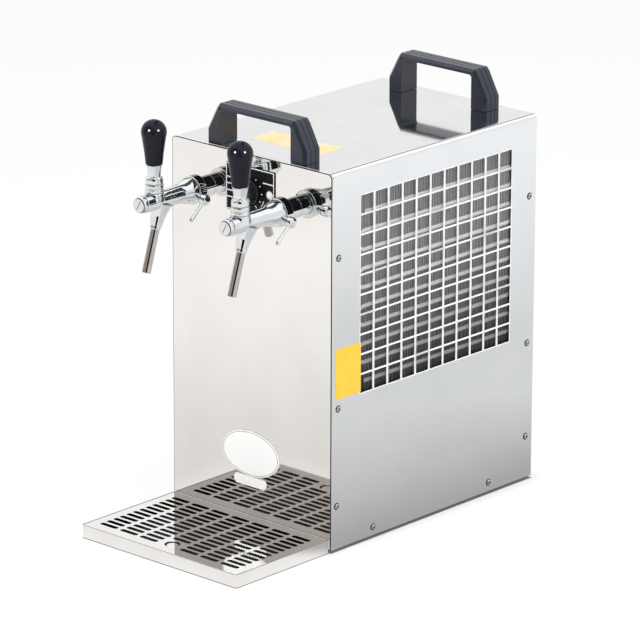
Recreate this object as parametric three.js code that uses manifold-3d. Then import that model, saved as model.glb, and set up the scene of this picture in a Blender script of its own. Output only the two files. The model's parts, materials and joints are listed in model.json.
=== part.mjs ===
// Countertop dry beer cooler with two compensator taps: a polished steel casing over a compressor,
// a finned condenser with its fan and an insulated cooling block, with a drip tray in front.
// Millimetres, +Z up. The origin is the centre of the footprint on the counter; the taps face -Y.
import * as THREE from 'three';
import * as BufferGeometryUtils from 'three/addons/utils/BufferGeometryUtils.js';
import Module from 'manifold-3d';

const wasm = await Module();
wasm.setup();

// Casing: overall sizes, sheet and folds
const casingWidth = 244;
const casingDepth = 351.4;
const casingHeight = 440;
const sheet = 1;
const fitGap = 0.3;
const cutOverrun = 2;
const bendRadius = 6;
const panelRimDepth = 3;
const flangeDepth = 18;
const footHeight = 3;
const footRadius = 14;
const footInset = 26;

// Punched air grilles: square holes in rows
const grilleHole = 20;
const grillePitchY = 23.8;
const grillePitchZ = 23.3;
const outletRows = 10;
const intakeRows = 3;
const grilleFrontMargin = 49;
const grilleRearMargin = 40;
const outletBottom = 179.3;
const intakeBottom = 40;

// Carrying grips
const gripLength = 150;
const gripThickness = 28;
const gripHeight = 47;
const gripLegHeight = 15.5;
const gripSlopeHeight = 42.5;
const gripSlopeRun = 14.5;
const gripTopRun = 18.5;
const gripOpeningHalf = 53.5;
const gripOpeningHeight = 40.5;
const gripOpeningRadius = 3.5;
const gripChamfer = 3.5;
const frontGripInset = 7;
const rearGripInset = 9.5;

// Thermostat
const dialPlateWidth = 74;
const dialPlateHeight = 55;
const dialPlateThickness = 1;
const dialPlateTopInset = 14;
const dialAxisDrop = 42.5;
const dialKnobRadius = 14;
const dialKnobHeight = 15;
const dialKnobGrips = 9;
const dialKnobGripDepth = 0.9;
const dialFluteStartShare = 0.2;
const dialPointerShare = 0.8;
const dialShaftShare = 0.7;
const dialShaftRadius = 3;
const dialHoleRadius = 4.5;
const thermostatBodyWidth = 42;
const thermostatBodyDepth = 32;
const thermostatBodyHeight = 34;
const lampRadius = 4.2;
const lampProjection = 2.5;
const lampCrownShare = 0.6;
const lampOffset = 27.6;

// Taps: distances along each tap's own axis, forward from the casing
const tapSpacing = 131.2;
const tapAxisDrop = 48.2;
const shankRadius = 12;
const shankLength = 17.5;
const shankInside = 26;
const backNutRadius = 17;
const backNutLength = 9;
const hoseTailRadius = 5;
const hoseTailLength = 10;
const shankHoleClearance = 0.4;
const collarRadius = 16.4;
const collarLength = 11.8;
const domeRadius = 15.6;
const domeEnd = 56;
const domeShoulderShares = [[0.955, 0.11], [0.833, 0.45]];
const domeWaistShare = 0.15;
const domeWaistStationShare = 0.78;
const barrelRadius = 10.3;
const barrelEnd = 106;
const plugRadius = 9.6;
const plugLength = 6.3;
const plugSlotWidth = 1.6;
const plugSlotDepth = 1.8;
const plugSlotTilt = 70;
const plugChamfer = 2.8;
const bonnetForward = 87;
const bonnetRadius = 10.6;
const bonnetSeat = 11;
const bonnetTop = 20.3;
const bonnetGroove = 1;
const bonnetRingShares = { first: 0.36, groove: 0.44, second: 0.52, crown: 0.9 };
const ballCentre = 25.2;
const ballSocketRadius = 10.9;
const ballArcSteps = 7;
const socketArcSteps = 4;
const ferruleTop = 42.7;
const ferruleBottomRadius = 7.4;
const ferruleTopRadius = 9.3;
const knobRadius = 14.5;
const knobTop = 94.2;
const knobNeckRadius = 9.9;
const knobNarrowRadius = 10.8;
const knobNarrowShare = 0.3;
const knobShoulderShare = 0.94;
const knobShoulderDropShare = 0.5;
const knobHeadSteps = 5;

// Tap outlet and spout: lengths along the outlet's own slanted axis, down from its start
const outletForward = 78.2;
const outletDrop = 8;
const outletTilt = 17.5;
const nozzleTopRadius = 7.2;
const nozzleBottomRadius = 6.7;
const nozzleLength = 23.4;
const finThicknessAtNozzle = 8;
const finBackForward = 56;
const finSteps = [[62.5, 10.3], [68.2, 17.1], [72.2, 23.2], [78.2, 29.8]];
const sleeveRadius = 6.2;
const sleeveLength = 2.4;
const spoutRadius = 5.2;
const spoutBoreRadius = 4.1;
const spoutBoreDepth = 3.5;
const spoutTipDistance = 76;

// Flow lever on each tap's right side
const flowHubForward = 29;
const flowHubDrop = 6.5;
const flowHubRadius = 6.3;
const flowHubLength = 8;
const flowBossRadius = 5;
const flowBossReach = 18;
const flowArmRadius = 2.3;
const flowArmForward = 22;
const flowArmDrop = 19;
const flowTipShare = 1.25;

// Drip tray and its slotted grid
const trayWidth = 240.3;
const trayDepth = 152.5;
const trayHeight = 16.1;
const trayCornerRadius = 2;
const trayLedgeWidth = 4;
const trayLedgeDrop = 4;
const gridThickness = 1.5;
const slotLength = 26;
const slotWidth = 5;
const slotPitchX = 31.3;
const slotPitchY = 10.6;
const slotSideMargin = 8;
const slotEndMargin = 12;
const slotEndFacets = 2;
const fingerHoleRadius = 9;

// Condenser, shroud and fan
const coilPitch = 25.4;
const coilTubeRadius = 3.2;
const coilSideGap = 1.6;
const coilEndInset = 6;
const coilBendSteps = 4;
const finPitch = 7;
const finThickness = 1.2;
const finDepth = 19;
const finCoreThickness = 2;
const condenserFrontInset = 42;
const condenserRearInset = 37.4;
const condenserBottom = 169;
const condenserHeight = 246;
const shroudThickness = 2;
const shroudCheekReach = 27;
const fanRadius = 92;
const fanTipGap = 4;
const fanHubRadius = 26;
const fanHubLength = 22;
const fanBladeCount = 5;
const fanBladePitchDegrees = 28;
const fanBladeThickness = 1.6;
const fanBladeWidth = 42;
const fanShaftRadius = 4;
const fanShaftGap = 0.3;
const fanRunningGap = 3;
const motorRadius = 38;
const motorLength = 42;
const motorChamfer = 4;
const bracketWidth = 26;
const bracketMargin = 14;

// Compressor and its mounts
const compressorRadius = 62;
const compressorHeight = 138;
const compressorSideGap = 21;
const compressorShoulderShare = 0.3;
const compressorFootShare = 0.9;
const compressorCrownShares = [[1, 1.6], [0.88, 0.7], [0.55, 0.1]];
const compressorDepthShare = 0.66;
const compressorPlateLength = 150;
const compressorPlateWidth = 96;
const compressorPlateThickness = 3;
const compressorMountHeight = 10;
const compressorMountRadius = 9;
const mountWaistShare = 0.8;

// Cooling block, its insulation and shelf
const insulationMotorGap = 16.8;
const insulationRearInset = 39.4;
const insulationHeight = 172;
const insulationWall = 15;
const insulationLidThickness = 15;
const insulationFrontInset = 62;
const insulationSideInset = 4;
const shelfHeight = 176;
const shelfLegWidth = 16;
const fittingRadius = 7;
const fittingHeight = 8;
const beerLineRadius = 4.5;
const copperLineRadius = 3.2;
const lineSteps = 8;

// Electrical box, drier and rear fittings
const terminalBoxWidth = 70;
const terminalBoxGap = 29.9;
const terminalBoxHeight = 72;
const terminalBoxLidGroove = 1;
const terminalLidShare = 0.8;
const drierRadius = 9.5;
const drierLength = 84;
const inletRadius = 9.5;
const inletProjection = 18;
const inletBoreRadius = 5;
const inletBoreDepth = 14;
const inletFlangeRadius = 13;
const inletFlangeThickness = 3;
const inletInside = 16;
const inletDrop = 40;
const inletSpacing = 64;
const inletSideInset = 32;
const socketWidth = 48;
const socketHeight = 28;
const socketFlangeThickness = 2.5;
const socketInside = 26;
const socketRecessWidth = 25;
const socketRecessHeight = 17;
const socketRecessDepth = 17;
const socketWall = 4;
const socketSideInset = 70;
const socketRise = 70;
const pinWidth = 2;
const pinHeight = 4;
const pinLength = 13;
const pinSpacing = 7;
const pinRise = 2;

// Facets of round pieces
const fineFacets = 16;
const plainFacets = 12;
const tubeFacets = 10;
const smallFacets = 8;
const lineFacets = 6;
const cornerSteps = 3;

// Derived places, in the casing's frame: Y = 0 at the casing's front face, Z = 0 on the counter
const halfWidth = casingWidth / 2;
const casingBottom = footHeight;
const casingTop = footHeight + casingHeight;
const innerHalfWidth = halfWidth - sheet;
const flangeHalfWidth = innerHalfWidth - fitGap;
const coverFront = panelRimDepth + fitGap;
const floorTop = casingBottom + sheet;
const tapAxisHeight = casingTop - tapAxisDrop;
const dialHeight = casingTop - dialAxisDrop;
const overallDepth = trayDepth + casingDepth + inletProjection;
const grilleRun = casingDepth - grilleFrontMargin - grilleRearMargin - grilleHole;
const grilleColumns = Math.floor(grilleRun / grillePitchY) + 1;
const inletHeight = casingTop - inletDrop;
const inletPlaces = { left: inletSideInset - halfWidth, right: inletSideInset + inletSpacing - halfWidth };
const socketX = halfWidth - socketSideInset;
const socketZ = casingBottom + socketRise;

const steelColor = 0xe6e4e0;
const finishes = {
  polishedSteel: { color: steelColor, roughness: 0.08, metalness: 1 },
  plainSteel: { color: 0xb9bcbf, roughness: 0.45, metalness: 1 },
  chrome: { color: 0xdfe3e6, roughness: 0.05, metalness: 1 },
  gripPlastic: { color: 0x3a404a, roughness: 0.5, metalness: 0 },
  blackPlastic: { color: 0x18181c, roughness: 0.25, metalness: 0 },
  dialBlack: { color: 0x1c1a22, roughness: 0.35, metalness: 0 },
  lampWhite: { color: 0xf2f2ef, roughness: 0.3, metalness: 0 },
  rubber: { color: 0x222222, roughness: 0.9, metalness: 0 },
  darkAluminium: { color: 0x4a4c50, roughness: 0.6, metalness: 0.6 },
  aluminium: { color: 0xa9adb0, roughness: 0.4, metalness: 1 },
  copper: { color: 0xb87750, roughness: 0.35, metalness: 1 },
  foam: { color: 0x3b3b3e, roughness: 0.95, metalness: 0 },
  blackEnamel: { color: 0x1d1e20, roughness: 0.4, metalness: 0.2 },
  greyPlastic: { color: 0x8a8d90, roughness: 0.5, metalness: 0 },
  clearHose: { color: 0xdadfe2, roughness: 0.3, metalness: 0 },
};

/** Welds a geometry's vertices and makes it a solid that can be joined and cut. */
function solidOf(geometry) {
  const bare = geometry.clone();
  for (const name of ['normal', 'uv']) bare.deleteAttribute(name);
  const welded = BufferGeometryUtils.mergeVertices(bare);
  const index = welded.index.array;
  const triangles = [];
  for (let i = 0; i < index.length; i += 3) {
    const [a, b, c] = [index[i], index[i + 1], index[i + 2]];
    if (a !== b && b !== c && c !== a) triangles.push(a, b, c);
  }
  return new wasm.Manifold(new wasm.Mesh({
    numProp: 3,
    vertProperties: new Float32Array(welded.attributes.position.array),
    triVerts: new Uint32Array(triangles),
  }));
}

/** Gives a solid's surface back as a geometry. */
function geometryOf(solid) {
  const mesh = solid.getMesh();
  const geometry = new THREE.BufferGeometry();
  geometry.setAttribute('position', new THREE.BufferAttribute(mesh.vertProperties, mesh.numProp));
  geometry.setIndex(new THREE.BufferAttribute(mesh.triVerts, 1));
  geometry.computeVertexNormals();
  return geometry;
}

const joined = (solids) => solids.reduce((sum, next) => sum.add(next));
const cut = (solid, tools) => tools.reduce((rest, tool) => rest.subtract(tool), solid);

/** A box between two corners. */
function box([x0, y0, z0], [x1, y1, z1]) {
  const geometry = new THREE.BoxGeometry(x1 - x0, y1 - y0, z1 - z0);
  return solidOf(geometry.translate((x0 + x1) / 2, (y0 + y1) / 2, (z0 + z1) / 2));
}

/** A shape drawn in X and Y, pulled up from one height to another. */
function upright(shape, z0, z1) {
  const geometry = new THREE.ExtrudeGeometry(shape, {
    depth: z1 - z0, bevelEnabled: false, curveSegments: cornerSteps,
  });
  return solidOf(geometry.translate(0, 0, z0));
}

/** A shape drawn in X and Z, pulled from one depth to another along Y. */
function alongY(shape, y0, y1) {
  const geometry = new THREE.ExtrudeGeometry(shape, {
    depth: y1 - y0, bevelEnabled: false, curveSegments: cornerSteps,
  });
  return solidOf(geometry.rotateX(Math.PI / 2).translate(0, y1, 0));
}

/** A shape drawn in Y and Z, pulled sideways along X. */
function alongX(shape, x0, x1, curveSegments = cornerSteps) {
  const geometry = new THREE.ExtrudeGeometry(shape, { depth: x1 - x0, bevelEnabled: false, curveSegments });
  const turn = new THREE.Matrix4().makeBasis(
    new THREE.Vector3(0, 1, 0), new THREE.Vector3(0, 0, 1), new THREE.Vector3(1, 0, 0));
  return solidOf(geometry.applyMatrix4(turn).translate(x0, 0, 0));
}

/** A profile of [radius, height] points turned about the vertical axis through a place. */
function turnedUp(profile, [x, y, z], facets) {
  const points = profile.map(([radius, height]) => new THREE.Vector2(radius, height));
  return solidOf(new THREE.LatheGeometry(points, facets).rotateX(Math.PI / 2).translate(x, y, z));
}

/** A profile of [radius, forward] points turned about an axis that points forward, to -Y. */
function turnedForward(profile, [x, y, z], facets) {
  const points = profile.map(([radius, forward]) => new THREE.Vector2(radius, forward));
  return solidOf(new THREE.LatheGeometry(points, facets).rotateX(Math.PI).translate(x, y, z));
}

/** A profile of [radius, sideways] points turned about an axis that points to +X. */
function turnedSideways(profile, [x, y, z], facets) {
  const points = profile.map(([radius, sideways]) => new THREE.Vector2(radius, sideways));
  return solidOf(new THREE.LatheGeometry(points, facets).rotateZ(-Math.PI / 2).translate(x, y, z));
}

/** Profile of a plain round bar between two stations. */
const bar = (radius, from, to) => [[0, from], [radius, from], [radius, to], [0, to]];

/** A round tube or rod swept along a curve. */
function swept(curve, radius, steps, facets) {
  const section = new THREE.Shape();
  for (let i = 0; i < facets; i++) {
    const angle = (2 * Math.PI * i) / facets;
    const point = [radius * Math.cos(angle), radius * Math.sin(angle)];
    if (i === 0) section.moveTo(...point);
    else section.lineTo(...point);
  }
  section.closePath();
  return solidOf(new THREE.ExtrudeGeometry(section, { extrudePath: curve, steps, bevelEnabled: false }));
}

/** A path of straight steps from station to station, for a tube with long runs and short bends. */
class StationPath extends THREE.Curve {
  constructor(stations) {
    super();
    this.stations = stations;
  }

  getSpacedPoints() {
    return this.stations.map((station) => station.clone());
  }

  getTangentAt(share) {
    const last = this.stations.length - 1;
    const here = Math.round(share * last);
    const arrived = Math.max(here, 1);
    const before = this.stations[arrived].clone().sub(this.stations[arrived - 1]).normalize();
    const next = Math.min(here, last - 1);
    const after = this.stations[next + 1].clone().sub(this.stations[next]).normalize();
    return before.add(after).normalize();
  }
}

/** A closed outline through the given points. */
function outline(points) {
  const shape = new THREE.Shape();
  shape.moveTo(...points[0]);
  for (const point of points.slice(1)) shape.lineTo(...point);
  shape.closePath();
  return shape;
}

/** An upright rectangle whose two upper corners are rounded. */
function archOutline(half, bottom, top, radius) {
  const shape = new THREE.Shape();
  shape.moveTo(-half, bottom);
  shape.lineTo(half, bottom);
  shape.lineTo(half, top - radius);
  shape.absarc(half - radius, top - radius, radius, 0, Math.PI / 2, false);
  shape.lineTo(-half + radius, top);
  shape.absarc(-half + radius, top - radius, radius, Math.PI / 2, Math.PI, false);
  shape.closePath();
  return shape;
}

/** A rectangle with four rounded corners. */
function roundedOutline(x0, y0, x1, y1, radius) {
  const shape = new THREE.Shape();
  shape.moveTo(x0 + radius, y0);
  shape.absarc(x1 - radius, y0 + radius, radius, -Math.PI / 2, 0, false);
  shape.absarc(x1 - radius, y1 - radius, radius, 0, Math.PI / 2, false);
  shape.absarc(x0 + radius, y1 - radius, radius, Math.PI / 2, Math.PI, false);
  shape.absarc(x0 + radius, y0 + radius, radius, Math.PI, 1.5 * Math.PI, false);
  shape.closePath();
  return shape;
}

/** A round hole's tool through the front or rear sheet. */
const boreAlongY = ([x, z], radius, y0, y1, facets) =>
  turnedForward(bar(radius, -y1, -y0), [x, 0, z], facets);

const group = new THREE.Group();
const machine = new THREE.Group();
machine.position.setY(trayDepth - overallDepth / 2);
group.add(machine);

/** Adds one named piece. */
function addPiece(name, solid, finish) {
  const mesh = new THREE.Mesh(geometryOf(solid), new THREE.MeshStandardMaterial(finish));
  mesh.name = name;
  machine.add(mesh);
  return mesh;
}

// Base, feet and casing sheets

/** Floor of the casing, with an upturned flange along each side for the cover's lower screws. */
function makeBasePlate() {
  const flangeFront = flangeDepth + 2 * fitGap;
  const flangeRear = casingDepth - flangeDepth - fitGap;
  const floor = box([-flangeHalfWidth, coverFront, casingBottom], [flangeHalfWidth, casingDepth, floorTop]);
  const flanges = [-flangeHalfWidth, flangeHalfWidth - sheet].map((x) =>
    box([x, flangeFront, casingBottom], [x + sheet, flangeRear, casingBottom + flangeDepth]));
  return joined([floor, ...flanges]);
}

/** One low rubber foot, tapered towards the counter. */
function makeFoot(x, y) {
  const top = footHeight - fitGap;
  const profile = [[0, 0], [footRadius - footHeight / 2, 0], [footRadius, top], [0, top]];
  return turnedUp(profile, [x, y, 0], plainFacets);
}

/** Front sheet with a folded rim flush with the cover and a flange inside it. */
function makeFrontPanel() {
  const skin = alongY(archOutline(halfWidth, casingBottom, casingTop, bendRadius), 0, panelRimDepth);
  const pocket = alongY(
    archOutline(innerHalfWidth, floorTop, casingTop - sheet, bendRadius - sheet),
    sheet, panelRimDepth + cutOverrun);
  const flangeTop = casingTop - sheet - fitGap;
  const flangeRadius = bendRadius - sheet - fitGap;
  const flangeOuter = alongY(
    archOutline(flangeHalfWidth, floorTop + fitGap, flangeTop, flangeRadius), sheet, flangeDepth);
  const flangeInner = alongY(
    archOutline(flangeHalfWidth - sheet, casingBottom, flangeTop - sheet, flangeRadius - sheet),
    sheet - cutOverrun, flangeDepth + cutOverrun);
  const tapHoles = [-1, 1].map((side) =>
    boreAlongY([side * tapSpacing / 2, tapAxisHeight], shankRadius + shankHoleClearance,
      -cutOverrun, panelRimDepth, fineFacets));
  const dialHole = boreAlongY([0, dialHeight], dialHoleRadius, -cutOverrun, panelRimDepth, plainFacets);
  const shell = joined([cut(skin, [pocket]), cut(flangeOuter, [flangeInner])]);
  return cut(shell, [...tapHoles, dialHole]);
}

/** Cuts for one punched grille in a side wall, row by row. */
function grilleCuts(x0, x1, bottom, rows) {
  const cuts = [];
  for (let row = 0; row < rows; row++) {
    for (let column = 0; column < grilleColumns; column++) {
      const y = grilleFrontMargin + column * grillePitchY;
      const z = bottom + row * grillePitchZ;
      cuts.push(box([x0, y, z], [x1, y + grilleHole, z + grilleHole]));
    }
  }
  return cuts;
}

/** Both sides and the top, bent from one sheet, with an air grille punched in each side. */
function makeCover() {
  const outer = alongY(archOutline(halfWidth, casingBottom, casingTop, bendRadius), coverFront, casingDepth);
  const inner = alongY(
    archOutline(innerHalfWidth, casingBottom - cutOverrun, casingTop - sheet, bendRadius - sheet),
    coverFront - cutOverrun, casingDepth + cutOverrun);
  const outlet = grilleCuts(innerHalfWidth - cutOverrun, halfWidth + cutOverrun, outletBottom, outletRows);
  const intake = grilleCuts(-halfWidth - cutOverrun, -innerHalfWidth + cutOverrun, intakeBottom, intakeRows);
  return cut(outer, [inner, ...outlet, ...intake]);
}

/** Rear sheet, folded forward on three sides inside the cover. */
function makeRearPanel() {
  const top = casingTop - sheet - fitGap;
  const radius = bendRadius - sheet - fitGap;
  const bottom = floorTop + fitGap;
  const outer = alongY(
    archOutline(flangeHalfWidth, bottom, top, radius), casingDepth - flangeDepth, casingDepth);
  const inner = alongY(
    archOutline(flangeHalfWidth - sheet, bottom - cutOverrun, top - sheet, radius - sheet),
    casingDepth - flangeDepth - cutOverrun, casingDepth - sheet);
  const holeFrom = casingDepth - panelRimDepth;
  const holeTo = casingDepth + cutOverrun;
  const inletHoles = Object.values(inletPlaces).map((x) =>
    boreAlongY([x, inletHeight], inletRadius + fitGap, holeFrom, holeTo, plainFacets));
  const halfSocket = socketRecessWidth / 2 + socketWall + fitGap;
  const halfSocketHeight = socketRecessHeight / 2 + socketWall + fitGap;
  const socketHole = box(
    [socketX - halfSocket, holeFrom, socketZ - halfSocketHeight],
    [socketX + halfSocket, holeTo, socketZ + halfSocketHeight]);
  return cut(outer, [inner, ...inletHoles, socketHole]);
}

addPiece('base_plate', makeBasePlate(), finishes.plainSteel);
for (const [end, y] of [['front', footInset], ['rear', casingDepth - footInset]]) {
  addPiece(`foot_${end}_left`, makeFoot(-halfWidth + footInset, y), finishes.rubber);
  addPiece(`foot_${end}_right`, makeFoot(halfWidth - footInset, y), finishes.rubber);
}
addPiece('front_panel', makeFrontPanel(), finishes.polishedSteel);
addPiece('cover', makeCover(), finishes.polishedSteel);
addPiece('rear_panel', makeRearPanel(), finishes.plainSteel);

// Carrying grips

/** Bridge grip: upright feet, slanted shoulders, a flat bar and a bevel round the outside. */
function makeGrip(frontFace) {
  const half = gripLength / 2;
  const root = -gripChamfer - cutOverrun;
  const inward = (value) => value - gripChamfer;
  const side = [
    [inward(half), root],
    [inward(half), gripLegHeight],
    [inward(half - gripSlopeRun), gripSlopeHeight - gripChamfer / 2],
    [inward(half - gripTopRun), gripHeight - gripChamfer],
  ];
  const mirrored = side.map(([x, z]) => [-x, z]).reverse();
  const blank = new THREE.ExtrudeGeometry(outline([...side, ...mirrored]), {
    depth: gripThickness - 2 * gripChamfer,
    bevelEnabled: true,
    bevelSegments: 1,
    bevelSize: gripChamfer,
    bevelThickness: gripChamfer,
  });
  const base = casingTop + fitGap;
  const body = solidOf(
    blank.rotateX(Math.PI / 2).translate(0, frontFace + gripThickness - gripChamfer, base));
  const reach = half + cutOverrun;
  const below = box([-reach, frontFace - cutOverrun, base + 2 * root - gripChamfer],
    [reach, frontFace + gripThickness + cutOverrun, base]);
  const opening = alongY(
    archOutline(gripOpeningHalf, base + root, base + gripOpeningHeight, gripOpeningRadius),
    frontFace - cutOverrun, frontFace + gripThickness + cutOverrun);
  return cut(body, [below, opening]);
}

addPiece('front_grip', makeGrip(frontGripInset), finishes.gripPlastic);
addPiece('rear_grip', makeGrip(casingDepth - rearGripInset - gripThickness), finishes.gripPlastic);

// Thermostat

const dialPlateFront = -fitGap - dialPlateThickness;

/** Dial plate with the knob's hole. */
function makeDialPlate() {
  const top = casingTop - dialPlateTopInset;
  const plate = box(
    [-dialPlateWidth / 2, dialPlateFront, top - dialPlateHeight], [dialPlateWidth / 2, -fitGap, top]);
  const hole = boreAlongY([0, dialHeight], dialHoleRadius, dialPlateFront - cutOverrun, 0, plainFacets);
  return cut(plate, [hole]);
}

/** Switch housing behind the sheet, with its turning shaft through the dial. */
function makeThermostatBody() {
  const front = sheet + fitGap;
  const housing = box(
    [-thermostatBodyWidth / 2, front, dialHeight - thermostatBodyHeight / 2],
    [thermostatBodyWidth / 2, front + thermostatBodyDepth, dialHeight + thermostatBodyHeight / 2]);
  const neck = turnedForward(
    bar(dialHoleRadius - fitGap, -front - sheet, -dialPlateFront), [0, 0, dialHeight], smallFacets);
  const shaft = turnedForward(
    bar(dialShaftRadius, -front - sheet, dialKnobHeight * dialShaftShare - dialPlateFront),
    [0, 0, dialHeight], smallFacets);
  return joined([housing, neck, shaft]);
}

/** Fluted thermostat knob with a blind bore and a pointer rib. */
function makeDialKnob() {
  const back = -dialPlateFront + fitGap;
  const front = back + dialKnobHeight;
  const chamfer = dialKnobGripDepth;
  const knob = turnedForward([
    [0, back], [dialKnobRadius, back], [dialKnobRadius, front - chamfer],
    [dialKnobRadius - chamfer, front], [0, front],
  ], [0, 0, dialHeight], 2 * dialKnobGrips);
  const flutes = [];
  for (let i = 0; i < dialKnobGrips; i++) {
    const angle = (Math.PI * (2 * i + 1)) / dialKnobGrips;
    const reach = dialKnobRadius + dialKnobGripDepth;
    flutes.push(turnedForward(
      bar(2 * dialKnobGripDepth, back + dialKnobHeight * dialFluteStartShare, front + cutOverrun),
      [reach * Math.cos(angle), 0, dialHeight + reach * Math.sin(angle)], lineFacets));
  }
  const pointerHalf = dialKnobGripDepth;
  const pointer = box([-pointerHalf, -front - dialKnobGripDepth, dialHeight],
    [pointerHalf, -front + dialKnobGripDepth, dialHeight + dialKnobRadius * dialPointerShare]);
  const bore = turnedForward(
    bar(dialShaftRadius + fitGap, back - cutOverrun,
      dialKnobHeight * dialShaftShare - dialPlateFront + fitGap),
    [0, 0, dialHeight], smallFacets);
  return cut(joined([cut(knob, flutes), pointer]), [bore]);
}

/** Pilot lamp lens on the dial plate. */
function makePilotLamp() {
  const back = -dialPlateFront + fitGap;
  const profile = [[0, back], [lampRadius, back], [lampRadius, back + lampProjection / 2],
    [lampRadius * lampCrownShare, back + lampProjection], [0, back + lampProjection]];
  return turnedForward(profile, [lampOffset, 0, dialHeight], plainFacets);
}

addPiece('dial_plate', makeDialPlate(), finishes.dialBlack);
addPiece('thermostat_body', makeThermostatBody(), finishes.greyPlastic);
addPiece('thermostat_knob', makeDialKnob(), finishes.blackPlastic);
addPiece('pilot_lamp', makePilotLamp(), finishes.lampWhite);

// Taps

/** Threaded shank through the front sheet, with its back nut and hose tail inside. */
function makeShank(x) {
  const nutFront = -sheet - fitGap;
  const nutBack = nutFront - backNutLength;
  const inside = -shankInside;
  return turnedForward([
    [0, shankLength], [shankRadius, shankLength], [shankRadius, nutFront], [backNutRadius, nutFront],
    [backNutRadius, nutBack], [shankRadius, nutBack], [shankRadius, inside],
    [hoseTailRadius, inside], [hoseTailRadius, inside - hoseTailLength], [0, inside - hoseTailLength],
  ].reverse(), [x, 0, tapAxisHeight], plainFacets);
}

/** A profile turned about the outlet's axis, which slants down and forward. */
function alongOutlet(profile, x) {
  return turnedUp(profile, [0, 0, 0], plainFacets).rotate([-outletTilt, 0, 0])
    .translate([x, -outletForward, tapAxisHeight - outletDrop]);
}

/** Cast tap body: collar, domed compensator chamber, barrel, bonnet boss and slanted nozzle with a fin. */
function makeTapBody(x) {
  const back = shankLength + fitGap;
  const collarFront = back + collarLength;
  const domeLength = domeEnd - collarFront;
  const waist = barrelRadius + (domeRadius - barrelRadius) * domeWaistShare;
  const shoulder = domeShoulderShares.map(([radius, station]) =>
    [domeRadius * radius, collarFront + domeLength * station]);
  const profile = [
    [0, back], [collarRadius - sheet, back], [collarRadius, back + sheet], [collarRadius, collarFront],
    [domeRadius, collarFront + sheet], ...shoulder,
    [waist, collarFront + domeLength * domeWaistStationShare],
    [barrelRadius, domeEnd + sheet], [barrelRadius, barrelEnd], [0, barrelEnd],
  ];
  const casting = turnedForward(profile, [x, 0, tapAxisHeight], fineFacets);
  const boss = turnedUp(bar(bonnetRadius - sheet, 0, bonnetSeat - fitGap),
    [x, -bonnetForward, tapAxisHeight], plainFacets);
  const fin = outline([
    [-finBackForward, tapAxisHeight], ...finSteps.map(([forward, drop]) => [-forward, tapAxisHeight - drop]),
    [-outletForward, tapAxisHeight - outletDrop], [-outletForward, tapAxisHeight],
  ]);
  const finHalf = finThicknessAtNozzle / 2;
  const nozzle = alongOutlet([
    [0, -nozzleLength], [nozzleBottomRadius - sheet, -nozzleLength],
    [nozzleBottomRadius, sheet - nozzleLength],
    [nozzleTopRadius, 0], [nozzleTopRadius, outletDrop], [0, outletDrop],
  ], x);
  const flowBoss = turnedSideways(bar(flowBossRadius, 0, flowBossReach),
    [x, -flowHubForward, tapAxisHeight - flowHubDrop], smallFacets);
  return joined([casting, boss, alongX(fin, x - finHalf, x + finHalf), nozzle, flowBoss]);
}

/** Screw cap that closes the front of the barrel, with a coin slot. */
function makeFrontPlug(x) {
  const back = barrelEnd + fitGap;
  const front = back + plugLength;
  const cap = turnedForward([
    [0, back], [plugRadius, back], [plugRadius, front - plugChamfer],
    [plugRadius - plugChamfer, front], [0, front],
  ], [x, 0, tapAxisHeight], plainFacets);
  const reach = plugRadius + cutOverrun;
  const slot = box([-reach, -front - cutOverrun, -plugSlotWidth / 2],
    [reach, -front + plugSlotDepth, plugSlotWidth / 2])
    .rotate([0, -plugSlotTilt, 0]).translate([x, 0, tapAxisHeight]);
  return cut(cap, [slot]);
}

/** Ringed bonnet nut with a round seat for the lever's ball. */
function makeBonnet(x) {
  const height = bonnetTop - bonnetSeat;
  const groove = bonnetRadius - bonnetGroove;
  const centre = ballCentre - bonnetSeat;
  const rimAngle = Math.asin((height - centre) / ballSocketRadius);
  const seat = [];
  for (let i = 0; i <= socketArcSteps; i++) {
    const angle = rimAngle - (rimAngle + Math.PI / 2) * (i / socketArcSteps);
    const radius = i === socketArcSteps ? 0 : ballSocketRadius * Math.cos(angle);
    seat.push([radius, centre + ballSocketRadius * Math.sin(angle)]);
  }
  const profile = [
    [0, 0], [bonnetRadius, 0], [bonnetRadius, height * bonnetRingShares.first],
    [groove, height * bonnetRingShares.groove], [bonnetRadius, height * bonnetRingShares.second],
    [bonnetRadius, height * bonnetRingShares.crown], [bonnetRadius - fitGap, height], ...seat,
  ];
  return turnedUp(profile, [x, -bonnetForward, tapAxisHeight + bonnetSeat], plainFacets);
}

/** Lever: a ball in the bonnet's seat and a flared ferrule under the knob. */
function makeTapLever(x) {
  const ballRadius = ballSocketRadius - fitGap;
  const arc = [];
  const neckAngle = Math.acos(ferruleBottomRadius / ballRadius);
  for (let i = 0; i <= ballArcSteps; i++) {
    const angle = -Math.PI / 2 + ((neckAngle + Math.PI / 2) * i) / ballArcSteps;
    arc.push([i === 0 ? 0 : ballRadius * Math.cos(angle), ballCentre + ballRadius * Math.sin(angle)]);
  }
  const top = [[ferruleTopRadius, ferruleTop - sheet], [ferruleTopRadius, ferruleTop], [0, ferruleTop]];
  return turnedUp([...arc, ...top], [x, -bonnetForward, tapAxisHeight], plainFacets);
}

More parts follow.
